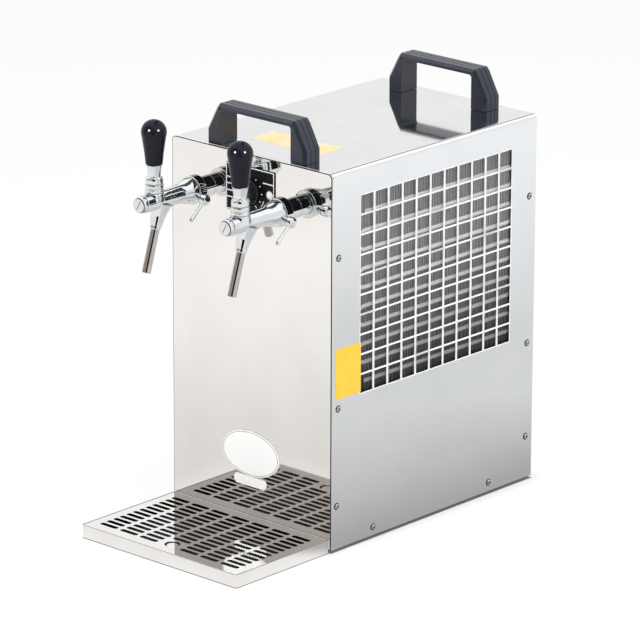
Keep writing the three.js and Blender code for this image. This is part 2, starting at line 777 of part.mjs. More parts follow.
/** Black knob: a rounded head that tapers down to the ferrule. */
function makeTapKnob(x) {
  const bottom = ferruleTop + fitGap;
  const headCentre = knobTop - knobRadius;
  const profile = [[0, bottom], [knobNeckRadius - sheet, bottom], [knobNeckRadius, bottom + sheet],
    [knobNarrowRadius, bottom + (headCentre - bottom) * knobNarrowShare],
    [knobRadius * knobShoulderShare, headCentre - knobRadius * knobShoulderDropShare]];
  for (let i = 0; i <= knobHeadSteps; i++) {
    const angle = (Math.PI / 2) * (i / knobHeadSteps);
    const radius = i === knobHeadSteps ? 0 : knobRadius * Math.cos(angle);
    profile.push([radius, headCentre + knobRadius * Math.sin(angle)]);
  }
  return turnedUp(profile, [x, -bonnetForward, tapAxisHeight], fineFacets);
}

/** Clamping ring under the nozzle. */
function makeSpoutSleeve(x) {
  const top = -nozzleLength - fitGap;
  return alongOutlet(bar(sleeveRadius, top - sleeveLength, top), x);
}

/** Steel spout: a slanted tube with an open tip. */
function makeSpoutTube(x) {
  const top = -nozzleLength - sleeveLength - 2 * fitGap;
  const tip = -spoutTipDistance;
  return alongOutlet([
    [0, tip + spoutBoreDepth], [spoutBoreRadius, tip + spoutBoreDepth], [spoutBoreRadius, tip],
    [spoutRadius, tip], [spoutRadius, top], [0, top],
  ], x);
}

/** Flow lever: a round hub on the chamber's side and a thin arm down and forward. */
function makeFlowLever(x) {
  const hubBack = x + flowBossReach + fitGap;
  const y = -flowHubForward;
  const z = tapAxisHeight - flowHubDrop;
  const hub = turnedSideways([
    [0, 0], [flowHubRadius, 0], [flowHubRadius, flowHubLength - sheet],
    [flowHubRadius - sheet, flowHubLength], [0, flowHubLength],
  ], [hubBack, y, z], plainFacets);
  const armX = hubBack + flowHubLength / 2;
  const armEnd = new THREE.Vector3(armX, y - flowArmForward, z - flowArmDrop);
  const armLine = new THREE.LineCurve3(new THREE.Vector3(armX, y, z), armEnd);
  const arm = swept(armLine, flowArmRadius, 1, smallFacets);
  const tip = solidOf(new THREE.SphereGeometry(flowArmRadius * flowTipShare, smallFacets, smallFacets / 2)
    .translate(armEnd.x, armEnd.y, armEnd.z));
  return joined([hub, arm, tip]);
}

for (const [side, name] of [[-1, 'left'], [1, 'right']]) {
  const x = (side * tapSpacing) / 2;
  addPiece(`tap_shank_${name}`, makeShank(x), finishes.chrome);
  addPiece(`tap_body_${name}`, makeTapBody(x), finishes.chrome);
  addPiece(`tap_plug_${name}`, makeFrontPlug(x), finishes.chrome);
  addPiece(`tap_bonnet_${name}`, makeBonnet(x), finishes.chrome);
  addPiece(`tap_lever_${name}`, makeTapLever(x), finishes.chrome);
  addPiece(`tap_knob_${name}`, makeTapKnob(x), finishes.blackPlastic);
  addPiece(`spout_sleeve_${name}`, makeSpoutSleeve(x), finishes.chrome);
  addPiece(`spout_tube_${name}`, makeSpoutTube(x), finishes.chrome);
  addPiece(`flow_lever_${name}`, makeFlowLever(x), finishes.chrome);
}

// Drip tray and grid

/** Shallow pan with a ledge all round for the grid. */
function makeDripTray() {
  const rear = -fitGap;
  const half = trayWidth / 2;
  const ledgeTop = trayHeight - gridThickness - fitGap;
  const outer = upright(roundedOutline(-half, -trayDepth, half, rear, trayCornerRadius), 0, trayHeight);
  const mouth = upright(roundedOutline(-half + sheet, -trayDepth + sheet, half - sheet, rear - sheet,
    trayCornerRadius - sheet), ledgeTop, trayHeight + cutOverrun);
  const inset = sheet + trayLedgeWidth;
  const pit = upright(roundedOutline(-half + inset, -trayDepth + inset, half - inset, rear - inset,
    trayCornerRadius), sheet, trayHeight);
  const under = upright(roundedOutline(-half + sheet, -trayDepth + sheet, half - sheet, rear - sheet,
    trayCornerRadius - sheet), sheet, ledgeTop - trayLedgeDrop);
  return cut(outer, [mouth, pit, under]);
}

/** One slot with round ends, drawn in X and Y. */
function slotOutline(x, y) {
  const radius = slotWidth / 2;
  const straight = slotLength / 2 - radius;
  const points = [];
  for (const [end, start] of [[1, -Math.PI / 2], [-1, Math.PI / 2]]) {
    for (let i = 0; i <= slotEndFacets; i++) {
      const angle = start + (Math.PI * i) / slotEndFacets;
      points.push([x + end * straight + radius * Math.cos(angle), y + radius * Math.sin(angle)]);
    }
  }
  return points;
}

/** Slotted plate that drops into the tray, with a round finger hole at the front. */
function makeDripGrid() {
  const gap = sheet + fitGap;
  const half = trayWidth / 2 - gap;
  const centreY = -trayDepth / 2 - fitGap / 2;
  const halfDepth = (trayDepth - fitGap) / 2 - gap;
  const plate = outline([[-half, centreY - halfDepth], [half, centreY - halfDepth],
    [half, centreY + halfDepth], [-half, centreY + halfDepth]]);
  const sideColumns = Math.floor((half - slotLength / 2 - slotSideMargin) / slotPitchX);
  const slotRows = Math.floor((2 * (halfDepth - slotEndMargin) - slotWidth) / slotPitchY) + 1;
  const firstY = centreY - (slotPitchY * (slotRows - 1)) / 2;
  for (let column = -sideColumns; column <= sideColumns; column++) {
    for (let row = 0; row < slotRows; row++) {
      if (column === 0 && row < 2) continue;
      plate.holes.push(outline(slotOutline(column * slotPitchX, firstY + row * slotPitchY)));
    }
  }
  const finger = new THREE.Path();
  finger.absarc(0, firstY + slotPitchY / 2, fingerHoleRadius, 0, 2 * Math.PI, true);
  plate.holes.push(finger);
  return upright(plate, trayHeight - gridThickness, trayHeight);
}

addPiece('drip_tray', makeDripTray(), finishes.polishedSteel);
addPiece('drip_grid', makeDripGrid(), finishes.polishedSteel);

// Condenser and fan behind the outlet grille

const coilX = innerHalfWidth - coilSideGap - coilTubeRadius;
const finTipX = coilX - coilTubeRadius - fitGap;
const finRootX = finTipX - finDepth;
const shroudFace = finRootX - finCoreThickness - fitGap;
const shroudBack = shroudFace - shroudThickness;
const condenserRear = casingDepth - condenserRearInset;
const condenserTop = condenserBottom + condenserHeight;
const fanCentre = {
  y: (condenserFrontInset + condenserRear) / 2,
  z: condenserBottom + condenserHeight / 2,
};

/** Fin block: upright fins on a thin core, drawn as a comb and pulled up. */
function makeFins() {
  const front = condenserFrontInset + fitGap;
  const rear = condenserRear - fitGap;
  const count = Math.floor((rear - front - finThickness) / finPitch) + 1;
  const first = (front + rear - (count - 1) * finPitch - finThickness) / 2;
  const comb = [[finRootX, front]];
  for (let i = 0; i < count; i++) {
    const y = first + i * finPitch;
    comb.push([finRootX, y], [finTipX, y], [finTipX, y + finThickness], [finRootX, y + finThickness]);
  }
  comb.push([finRootX, rear], [finRootX - finCoreThickness, rear], [finRootX - finCoreThickness, front]);
  return upright(outline(comb), condenserBottom, condenserTop);
}

/** Condenser coil: one tube that runs to and fro across the fins with a half turn at each end. */
function makeCoil() {
  const coilBendRadius = coilPitch / 2;
  const front = condenserFrontInset + coilEndInset + coilBendRadius;
  const rear = condenserRear - coilEndInset - coilBendRadius;
  const coilRows = Math.floor((condenserHeight - 2 * (coilEndInset + coilTubeRadius)) / coilPitch) + 1;
  const firstZ = fanCentre.z - ((coilRows - 1) * coilPitch) / 2;
  const stations = [];
  for (let row = 0; row < coilRows; row++) {
    const z = firstZ + row * coilPitch;
    const direction = row % 2 === 0 ? 1 : -1;
    const [from, to] = direction > 0 ? [front, rear] : [rear, front];
    stations.push(new THREE.Vector3(coilX, from, z), new THREE.Vector3(coilX, to, z));
    for (let i = 1; i < coilBendSteps && row < coilRows - 1; i++) {
      const angle = -Math.PI / 2 + (Math.PI * i) / coilBendSteps;
      stations.push(new THREE.Vector3(coilX, to + direction * coilBendRadius * Math.cos(angle),
        z + coilBendRadius + coilBendRadius * Math.sin(angle)));
    }
  }
  return swept(new StationPath(stations), coilTubeRadius, stations.length - 1, lineFacets);
}

/** Shroud: a wall on the casing floor behind the fins, open for the fan, with a cheek at each end. */
function makeShroud() {
  const front = condenserFrontInset - shroudThickness;
  const rear = condenserRear + shroudThickness;
  const bottom = floorTop + fitGap;
  const wall = outline([[front, bottom], [rear, bottom], [rear, condenserTop], [front, condenserTop]]);
  const throat = new THREE.Path();
  throat.absarc(fanCentre.y, fanCentre.z, fanRadius + fanTipGap, 0, 2 * Math.PI, true);
  wall.holes.push(throat);
  const wallSolid = alongX(wall, shroudBack, shroudFace, plainFacets);
  const cheek = (y) => box([shroudBack, y, condenserBottom],
    [shroudFace + shroudCheekReach, y + shroudThickness, condenserTop]);
  const sill = box([shroudBack, front, condenserBottom - shroudThickness - fitGap],
    [shroudFace + shroudCheekReach, rear, condenserBottom - fitGap]);
  return joined([wallSolid, cheek(front), cheek(condenserRear), sill]);
}

const rotorFront = shroudBack - fanRunningGap;
const rotorBack = rotorFront - fanHubLength;
const bracketFace = rotorBack - fanRunningGap;
const bracketBack = bracketFace - shroudThickness;
const motorBack = bracketBack - fitGap - motorLength;

/** Fan: a hub with twisted blades on a shaft along X. */
function makeRotor() {
  const centre = [0, fanCentre.y, fanCentre.z];
  const hub = turnedSideways(bar(fanHubRadius, rotorBack, rotorFront), centre, plainFacets);
  const middle = (rotorFront + rotorBack) / 2;
  const blades = [];
  for (let i = 0; i < fanBladeCount; i++) {
    const length = fanRadius - fanHubRadius / 2;
    const blade = new THREE.BoxGeometry(fanBladeThickness, fanBladeWidth, length)
      .translate(0, 0, fanHubRadius / 2 + length / 2)
      .rotateZ(THREE.MathUtils.degToRad(-fanBladePitchDegrees))
      .rotateX((2 * Math.PI * i) / fanBladeCount)
      .translate(middle, fanCentre.y, fanCentre.z);
    blades.push(solidOf(blade));
  }
  const bore = turnedSideways(
    bar(fanShaftRadius + fanShaftGap, rotorBack - cutOverrun, rotorFront + cutOverrun), centre, smallFacets);
  return cut(joined([hub, ...blades]), [bore]);
}

/** Fan motor with its shaft through the bracket. */
function makeMotor() {
  const front = bracketBack - fitGap;
  const shaftEnd = rotorFront - sheet;
  return turnedSideways([
    [0, motorBack], [motorRadius - motorChamfer, motorBack], [motorRadius, motorBack + motorChamfer],
    [motorRadius, front], [fanShaftRadius, front], [fanShaftRadius, shaftEnd], [0, shaftEnd],
  ], [0, fanCentre.y, fanCentre.z], plainFacets);
}

/** Strap that carries the motor, bent forward at both ends to the shroud. */
function makeBracket() {
  const y0 = fanCentre.y - bracketWidth / 2;
  const y1 = fanCentre.y + bracketWidth / 2;
  const reach = fanRadius + fanTipGap + bracketMargin;
  const strap = box([bracketBack, y0, fanCentre.z - reach], [bracketFace, y1, fanCentre.z + reach]);
  const legs = [fanCentre.z - reach, fanCentre.z + reach - shroudThickness].map((z) =>
    box([bracketBack, y0, z], [shroudBack - fitGap, y1, z + shroudThickness]));
  const hole = turnedSideways(
    bar(fanShaftRadius + fanShaftGap, bracketBack - cutOverrun, bracketFace + cutOverrun),
    [0, fanCentre.y, fanCentre.z], smallFacets);
  return cut(joined([strap, ...legs]), [hole]);
}

addPiece('condenser_fins', makeFins(), finishes.darkAluminium);
addPiece('condenser_coil', makeCoil(), finishes.aluminium);
addPiece('fan_shroud', makeShroud(), finishes.plainSteel);
addPiece('fan_bracket', makeBracket(), finishes.plainSteel);
addPiece('fan_motor', makeMotor(), finishes.blackEnamel);
addPiece('fan_rotor', makeRotor(), finishes.greyPlastic);

// Compressor

const compressorX = compressorSideGap + compressorRadius - innerHalfWidth;
const compressorY = casingDepth * compressorDepthShare;
const compressorPlateBottom = floorTop + fitGap + compressorMountHeight + fitGap;

/** Hermetic compressor: a domed can on a foot plate. */
function makeCompressor() {
  const bottom = compressorPlateBottom;
  const top = bottom + compressorHeight;
  const shoulder = compressorRadius * compressorShoulderShare;
  const crown = compressorCrownShares.map(([radius, drop]) =>
    [compressorRadius * radius, top - shoulder * drop]);
  const can = turnedUp([
    [0, bottom], [compressorRadius * compressorFootShare, bottom], [compressorRadius, bottom + shoulder],
    ...crown, [0, top],
  ], [compressorX, compressorY, 0], fineFacets);
  const plate = box(
    [compressorX - compressorPlateWidth / 2, compressorY - compressorPlateLength / 2, bottom],
    [compressorX + compressorPlateWidth / 2, compressorY + compressorPlateLength / 2,
      bottom + compressorPlateThickness]);
  return joined([can, plate]);
}

/** One waisted rubber mount under a corner of the compressor's foot plate. */
function makeCompressorMount(sideX, sideY) {
  const waist = compressorMountRadius * mountWaistShare;
  const profile = [
    [0, 0], [compressorMountRadius, 0], [waist, compressorMountHeight / 2],
    [compressorMountRadius, compressorMountHeight], [0, compressorMountHeight],
  ];
  return turnedUp(profile, [
    compressorX + sideX * (compressorPlateWidth / 2 - compressorMountRadius),
    compressorY + sideY * (compressorPlateLength / 2 - compressorMountRadius),
    floorTop + fitGap], smallFacets);
}

addPiece('compressor', makeCompressor(), finishes.blackEnamel);
for (const [end, sideY] of [['front', -1], ['rear', 1]]) {
  addPiece(`compressor_mount_${end}_left`, makeCompressorMount(-1, sideY), finishes.rubber);
  addPiece(`compressor_mount_${end}_right`, makeCompressorMount(1, sideY), finishes.rubber);
}

// Cooling block in its insulation, on a shelf over the compressor

const insulationX0 = -flangeHalfWidth + sheet + insulationSideInset;
const insulationX1 = motorBack - insulationMotorGap;
const insulationY0 = insulationFrontInset;
const insulationY1 = casingDepth - insulationRearInset;
const shelfTop = shelfHeight;
const insulationBottom = shelfTop + fitGap;
const insulationTop = insulationBottom + insulationHeight;
const lidBottom = insulationTop + fitGap;
const lidTop = lidBottom + insulationLidThickness;

/** Bridge-shaped shelf that stands on the casing floor. */
function makeShelf() {
  const bottom = floorTop + fitGap;
  const deck = box([insulationX0, insulationY0, shelfTop - sheet], [insulationX1, insulationY1, shelfTop]);
  const legs = [insulationY0, insulationY1 - sheet].map((y) =>
    box([insulationX0, y, bottom], [insulationX0 + shelfLegWidth, y + sheet, shelfTop]));
  const farLegs = [insulationY0, insulationY1 - sheet].map((y) =>
    box([insulationX1 - shelfLegWidth, y, bottom], [insulationX1, y + sheet, shelfTop]));
  return joined([deck, ...legs, ...farLegs]);
}

/** Open-topped foam box. */
function makeInsulationBox() {
  const outer = box(
    [insulationX0, insulationY0, insulationBottom], [insulationX1, insulationY1, insulationTop]);
  const hollow = box(
    [insulationX0 + insulationWall, insulationY0 + insulationWall, insulationBottom + insulationWall],
    [insulationX1 - insulationWall, insulationY1 - insulationWall, insulationTop + cutOverrun]);
  return cut(outer, [hollow]);
}

const fittingFront = insulationY0 + 2 * insulationWall;
const fittingRear = insulationY1 - 2 * insulationWall;
const fittingX = [insulationX0 + 2 * insulationWall, insulationX1 - 2 * insulationWall];
const fittingTop = lidTop + fittingHeight;
const fittingPlaces = fittingX.flatMap((x) => [[x, fittingFront], [x, fittingRear]]);

/** Cast aluminium block that chills the beer, with four line fittings that rise through the lid. */
function makeCoolingBlock() {
  const inset = insulationWall + fitGap;
  const block = box([insulationX0 + inset, insulationY0 + inset, insulationBottom + inset],
    [insulationX1 - inset, insulationY1 - inset, insulationTop]);
  const fittings = fittingPlaces.map(([x, y]) =>
    turnedUp(bar(fittingRadius, insulationTop - insulationWall, fittingTop), [x, y, 0], smallFacets));
  return joined([block, ...fittings]);
}

/** Foam lid with a hole for each fitting. */
function makeInsulationLid() {
  const lid = box([insulationX0, insulationY0, lidBottom], [insulationX1, insulationY1, lidTop]);
  return cut(lid, fittingPlaces.map(([x, y]) =>
    turnedUp(bar(fittingRadius + fitGap, lidBottom - cutOverrun, lidTop + cutOverrun),
      [x, y, 0], smallFacets)));
}

/** Hose from a front fitting to a tap shank's tail. */
function makeTapLine(fromX, toX) {
  const tailEnd = shankInside + hoseTailLength + fitGap;
  const lift = tapAxisHeight - fittingTop;
  const path = new THREE.CubicBezierCurve3(
    new THREE.Vector3(fromX, fittingFront, fittingTop + fitGap),
    new THREE.Vector3(fromX, fittingFront, fittingTop + lift),
    new THREE.Vector3(toX, tailEnd + lift, tapAxisHeight),
    new THREE.Vector3(toX, tailEnd, tapAxisHeight));
  return swept(path, beerLineRadius, lineSteps, lineFacets);
}

/** Hose from a rear inlet to a rear fitting. */
function makeSupplyLine(inletX, toX) {
  const start = casingDepth - sheet - fitGap - inletInside - fitGap;
  const lift = inletHeight - fittingTop;
  const path = new THREE.CubicBezierCurve3(
    new THREE.Vector3(toX, fittingRear, fittingTop + fitGap),
    new THREE.Vector3(toX, fittingRear, fittingTop + lift),
    new THREE.Vector3(inletX, start - lift, inletHeight),
    new THREE.Vector3(inletX, start, inletHeight));
  return swept(path, beerLineRadius, lineSteps, lineFacets);
}

addPiece('block_shelf', makeShelf(), finishes.plainSteel);
addPiece('insulation_box', makeInsulationBox(), finishes.foam);
addPiece('cooling_block', makeCoolingBlock(), finishes.aluminium);
addPiece('insulation_lid', makeInsulationLid(), finishes.foam);
addPiece('tap_line_left', makeTapLine(fittingX[0], -tapSpacing / 2), finishes.clearHose);
addPiece('tap_line_right', makeTapLine(fittingX[1], tapSpacing / 2), finishes.clearHose);
addPiece('supply_line_left', makeSupplyLine(inletPlaces.left, fittingX[0]), finishes.clearHose);
addPiece('supply_line_right', makeSupplyLine(inletPlaces.right, fittingX[1]), finishes.clearHose);

// Electrical box, drier and copper lines

/** Terminal box on the floor behind the front sheet. */
function makeTerminalBox() {
  const x0 = -flangeHalfWidth + sheet + insulationSideInset;
  const y0 = insulationY0 + sheet + insulationSideInset;
  const y1 = compressorY - compressorPlateLength / 2 - terminalBoxGap;
  const z0 = floorTop + fitGap;
  const body = box([x0, y0, z0], [x0 + terminalBoxWidth, y1, z0 + terminalBoxHeight]);
  const seam = z0 + terminalBoxHeight * terminalLidShare;
  const groove = cut(
    box([x0 - cutOverrun, y0 - cutOverrun, seam], [x0 + terminalBoxWidth + cutOverrun,
      y1 + cutOverrun, seam + terminalBoxLidGroove]),
    [box([x0 + terminalBoxLidGroove, y0 + terminalBoxLidGroove, seam - cutOverrun],
      [x0 + terminalBoxWidth - terminalBoxLidGroove, y1 - terminalBoxLidGroove,
        seam + terminalBoxLidGroove + cutOverrun])]);
  return cut(body, [groove]);
}

const drierX = shroudBack - fitGap - drierRadius;
const drierY = condenserFrontInset + drierRadius;
const drierBottom = casingBottom + socketRise / 2;

/** Copper filter drier, upright against the shroud, with drawn-in ends. */
function makeDrier() {
  const neck = copperLineRadius + sheet;
  const shoulder = drierRadius;
  return turnedUp([
    [0, 0], [neck, 0], [drierRadius, shoulder], [drierRadius, drierLength - shoulder], [neck, drierLength],
    [0, drierLength],
  ], [drierX, drierY, drierBottom], tubeFacets);
}

/** Hot gas line from the compressor's side to the shroud's sill. */
function makeDischargeLine() {
  const startX = compressorX + compressorRadius + fitGap + copperLineRadius / 4;
  const z = compressorPlateBottom + compressorHeight / 2;
  const endZ = condenserBottom - shroudThickness - 2 * fitGap - copperLineRadius / 4;
  const endX = shroudFace + shroudCheekReach / 2;
  const wallX = shroudBack - fitGap - copperLineRadius;
  const path = new THREE.CubicBezierCurve3(
    new THREE.Vector3(startX, compressorY, z),
    new THREE.Vector3(wallX, compressorY, z),
    new THREE.Vector3(wallX, compressorY, z),
    new THREE.Vector3(wallX, compressorY, endZ - (endX - wallX)));
  return swept(path, copperLineRadius, lineSteps, lineFacets);
}

addPiece('terminal_box', makeTerminalBox(), finishes.greyPlastic);
addPiece('filter_drier', makeDrier(), finishes.copper);
addPiece('discharge_line', makeDischargeLine(), finishes.copper);

// Rear fittings

/** Push-fit beer inlet through the rear sheet, with a blind bore for the hose. */
function makeInlet(x) {
  const face = casingDepth + fitGap;
  const outer = casingDepth + inletProjection;
  const back = casingDepth - sheet - fitGap - inletInside;
  const solid = turnedForward([
    [0, -outer], [inletRadius - sheet, -outer], [inletRadius, -outer + sheet],
    [inletRadius, -face - inletFlangeThickness], [inletFlangeRadius, -face - inletFlangeThickness],
    [inletFlangeRadius, -face], [inletRadius, -face], [inletRadius, -back], [0, -back],
  ], [x, 0, inletHeight], plainFacets);
  const bore = boreAlongY(
    [x, inletHeight], inletBoreRadius, outer - inletBoreDepth, outer + cutOverrun, smallFacets);
  return cut(solid, [bore]);
}

/** Mains inlet: a flanged cup with a keyed mouth and three flat pins on its floor. */
function makeSocket() {
  const face = casingDepth + fitGap;
  const outer = face + socketFlangeThickness;
  const flange = box([socketX - socketWidth / 2, face, socketZ - socketHeight / 2],
    [socketX + socketWidth / 2, outer, socketZ + socketHeight / 2]);
  const halfCup = socketRecessWidth / 2 + socketWall;
  const halfCupHeight = socketRecessHeight / 2 + socketWall;
  const cup = box([socketX - halfCup, casingDepth - socketInside, socketZ - halfCupHeight],
    [socketX + halfCup, outer, socketZ + halfCupHeight]);
  const half = socketRecessWidth / 2;
  const halfHeight = socketRecessHeight / 2;
  const key = halfHeight / 2;
  const mouth = outline([
    [-half, -halfHeight], [half, -halfHeight], [half, halfHeight - key], [half - key, halfHeight],
    [-half + key, halfHeight], [-half, halfHeight - key],
  ].map(([x, z]) => [x + socketX, z + socketZ]));
  const back = outer - socketRecessDepth;
  const pins = [[-pinSpacing, -pinRise], [0, pinRise], [pinSpacing, -pinRise]].map(([x, z]) => box(
    [socketX + x - pinWidth / 2, back - cutOverrun, socketZ + z - pinHeight / 2],
    [socketX + x + pinWidth / 2, back + pinLength, socketZ + z + pinHeight / 2]));
  return joined([cut(joined([flange, cup]), [alongY(mouth, back, outer + cutOverrun)]), ...pins]);
}

for (const [name, x] of Object.entries(inletPlaces)) {
  addPiece(`beer_inlet_${name}`, makeInlet(x), finishes.chrome);
}
addPiece('power_inlet', makeSocket(), finishes.blackPlastic);

export default group;
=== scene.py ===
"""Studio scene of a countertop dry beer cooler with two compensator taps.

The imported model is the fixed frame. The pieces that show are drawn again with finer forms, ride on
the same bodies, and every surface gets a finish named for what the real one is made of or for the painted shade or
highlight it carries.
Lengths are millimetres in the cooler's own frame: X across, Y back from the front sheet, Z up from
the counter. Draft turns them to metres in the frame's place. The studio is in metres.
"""
from __future__ import annotations

import json
import logging
import math
from dataclasses import dataclass, field
from enum import Enum
from typing import Iterable, Sequence

import bmesh
import bpy
from mathutils import Matrix, Vector

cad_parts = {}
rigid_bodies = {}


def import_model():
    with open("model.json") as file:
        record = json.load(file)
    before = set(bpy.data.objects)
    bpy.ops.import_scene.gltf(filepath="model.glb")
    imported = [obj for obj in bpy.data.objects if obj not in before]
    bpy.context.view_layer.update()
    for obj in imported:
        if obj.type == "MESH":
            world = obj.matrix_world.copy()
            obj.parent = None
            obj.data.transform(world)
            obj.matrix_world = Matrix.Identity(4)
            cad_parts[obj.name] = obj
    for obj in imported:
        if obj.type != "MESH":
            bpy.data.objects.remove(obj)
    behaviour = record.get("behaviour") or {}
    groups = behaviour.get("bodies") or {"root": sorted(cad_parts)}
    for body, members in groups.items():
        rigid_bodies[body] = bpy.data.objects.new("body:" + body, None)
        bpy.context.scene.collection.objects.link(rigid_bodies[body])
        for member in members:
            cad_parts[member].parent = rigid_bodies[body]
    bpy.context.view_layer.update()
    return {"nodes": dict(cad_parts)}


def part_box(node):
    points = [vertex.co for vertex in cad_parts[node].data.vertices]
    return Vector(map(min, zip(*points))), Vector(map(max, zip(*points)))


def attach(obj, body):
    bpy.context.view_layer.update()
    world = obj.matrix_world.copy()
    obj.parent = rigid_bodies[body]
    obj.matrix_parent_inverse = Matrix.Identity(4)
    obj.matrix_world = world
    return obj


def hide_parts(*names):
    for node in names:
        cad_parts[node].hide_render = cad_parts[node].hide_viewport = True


LOG = logging.getLogger("cooler")
MM = 0.001
CASING_DEPTH = 351.4
TAP_SPACING = 131.2
TAP_HEIGHT = 394.8
DIAL_HEIGHT = 400.5
DIAL_HOLE = 4.5
Point = tuple[float, float, float]
Profile = list[tuple[float, float]]
Socket = bpy.types.NodeSocket
Tree = bpy.types.NodeTree


class Axis(Enum):
    """Direction along which a piece is turned or pulled, with the two directions across it."""

    UP = (Vector((0, 0, 1)), Vector((1, 0, 0)), Vector((0, 1, 0)))
    FORWARD = (Vector((0, -1, 0)), Vector((1, 0, 0)), Vector((0, 0, 1)))
    BACK = (Vector((0, 1, 0)), Vector((1, 0, 0)), Vector((0, 0, 1)))
    RIGHT = (Vector((1, 0, 0)), Vector((0, 1, 0)), Vector((0, 0, 1)))
    LEFT = (Vector((-1, 0, 0)), Vector((0, 1, 0)), Vector((0, 0, 1)))


class Side(Enum):
    """One of the two taps or beer inlets, with its sign along X."""

    LEFT = -1
    RIGHT = 1

    @property
    def word(self) -> str:
        """The side's name as it stands in node names."""
        return self.name.lower()


# Finishes


def srgb(code: str) -> tuple[float, float, float, float]:
    """Turns a sRGB hex colour to linear.

    Args:
        code: Colour such as "#E6E3DE".

    Returns:
        Linear red, green and blue, with an alpha of one.
    """
    parts = [int(code[i : i + 2], 16) / 255 for i in (1, 3, 5)]
    linear = [c / 12.92 if c <= 0.04045 else ((c + 0.055) / 1.055) ** 2.4 for c in parts]
    return (linear[0], linear[1], linear[2], 1.0)


def add_node(
    tree: Tree,
    kind: str,
    settings: dict[str, object] | None = None,
    inputs: dict[str | int, object] | None = None,
) -> bpy.types.Node:
    """Adds one node with its settings and links.

    Args:
        tree: Node tree that takes the node.
        kind: Blender's type name of the node.
        settings: Properties of the node by name.
        inputs: Values, or output sockets to link, by socket name or number.

    Returns:
        The new node.
    """
    node = tree.nodes.new(kind)
    for name, value in (settings or {}).items():
        setattr(node, name, value)
    for name, value in (inputs or {}).items():
        socket = node.inputs[name]
        if isinstance(value, Socket):
            tree.links.new(value, socket)
        else:
            socket.default_value = value
    return node


def ramp(tree: Tree, factor: Socket, stops: list[tuple[float, str]]) -> Socket:
    """Adds a colour ramp.

    Args:
        tree: Node tree that takes the ramp.
        factor: Socket that drives it.
        stops: Places from 0 to 1 with their hex colours.

    Returns:
        The ramp's colour socket.
    """
    node = add_node(tree, "ShaderNodeValToRGB", inputs={"Fac": factor})
    elements = node.color_ramp.elements
    while len(elements) < len(stops):
        elements.new(0.5)
    for element, (place, code) in zip(elements, stops):
        element.position = place
        element.color = srgb(code)
    return node.outputs["Color"]


@dataclass(frozen=True)
class Finish:
    """A surface: its base values and the pattern that its making leaves.

    Attributes:
        name: Material name.
        colour: Main sRGB hex colour.
        other: Second colour that the pattern brings in.
        roughness: Microfacet roughness.
        spread: How far the pattern moves the roughness.
        metallic: One for bare metal.
        pattern_mm: Size of the pattern's cells along X, Y and Z.
        relief_mm: Depth of the bump.
        relief_cell_mm: Size of the bump's cells along X, Y and Z.
        ior: Index of refraction, left alone on metals.
    """

    name: str
    colour: str
    other: str
    roughness: float
    spread: float = 0.03
    metallic: float = 0.0
    pattern_mm: Point = (8.0, 8.0, 8.0)
    relief_mm: float = 0.0
    relief_cell_mm: Point = (1.0, 1.0, 1.0)
    ior: float = 1.5

    def noise(self, tree: Tree, cell: Point, detail: float = 3.0) -> Socket:
        """Adds noise with cells of a real size.

        Args:
            tree: The material's node tree.
            cell: Cell size in millimetres along X, Y and Z.
            detail: Octaves of finer noise.

        Returns:
            The noise's value socket.
        """
        place = add_node(tree, "ShaderNodeTexCoord").outputs["Object"]
        scaled = add_node(
            tree, "ShaderNodeMapping", inputs={"Vector": place, "Scale": tuple(1 / (c * MM) for c in cell)}
        )
        made = add_node(
            tree, "ShaderNodeTexNoise", inputs={"Vector": scaled.outputs["Vector"], "Scale": 1.0, "Detail": detail}
        )
        return made.outputs["Fac"]

    def tint(self, tree: Tree) -> Socket:
        """Colour socket: the main colour with the other one in drifts."""
        return ramp(tree, self.noise(tree, self.pattern_mm), [(0.35, self.colour), (0.72, self.other)])

    def relief(self, tree: Tree) -> Socket:
        """Height socket of the bump, from 0 to 1."""
        return self.noise(tree, self.relief_cell_mm, 2.0)

    def extra(self, tree: Tree, shader: bpy.types.Node) -> None:
        """Last changes that a special finish makes to the shader."""

    def material(self) -> bpy.types.Material:
        """Builds the material once, and gives the same one back on later calls."""
        known = bpy.data.materials.get(self.name)
        if known is not None:
            return known
        made = bpy.data.materials.new(self.name)
        made.use_nodes = True
        tree = made.node_tree
        shader = tree.nodes["Principled BSDF"]
        shader.inputs["Metallic"].default_value = self.metallic
        if not self.metallic:
            shader.inputs["IOR"].default_value = self.ior
            shader.inputs["Coat Roughness"].default_value = 0.05
        tree.links.new(self.tint(tree), shader.inputs["Base Color"])
        rough = add_node(
            tree,
            "ShaderNodeMapRange",
            inputs={
                "Value": self.noise(tree, self.pattern_mm, 4.0),
                "To Min": max(self.roughness - self.spread, 0.0),
                "To Max": self.roughness + self.spread,
            },
        )
        tree.links.new(rough.outputs["Result"], shader.inputs["Roughness"])
        if self.relief_mm:
            bump = add_node(
                tree, "ShaderNodeBump", inputs={"Height": self.relief(tree), "Distance": self.relief_mm * MM}
            )
            tree.links.new(bump.outputs["Normal"], shader.inputs["Normal"])
        self.extra(tree, shader)
        return made


@dataclass(frozen=True)
class CellFoam(Finish):
    """Closed-cell foam: its skin shows the outline of small cells."""

    def relief(self, tree: Tree) -> Socket:
        """Height socket: Voronoi cells of the foam's own size."""
        place = add_node(tree, "ShaderNodeTexCoord").outputs["Object"]
        cells = add_node(
            tree, "ShaderNodeTexVoronoi", inputs={"Vector": place, "Scale": 1 / (self.relief_cell_mm[0] * MM)}
        )
        return cells.outputs["Distance"]


@dataclass(frozen=True)
class SoftHose(Finish):
    """Clear PVC hose: some of the light goes through its milky wall."""

    def extra(self, tree: Tree, shader: bpy.types.Node) -> None:
        """Lets half of the light through."""
        shader.inputs["Transmission Weight"].default_value = 0.5


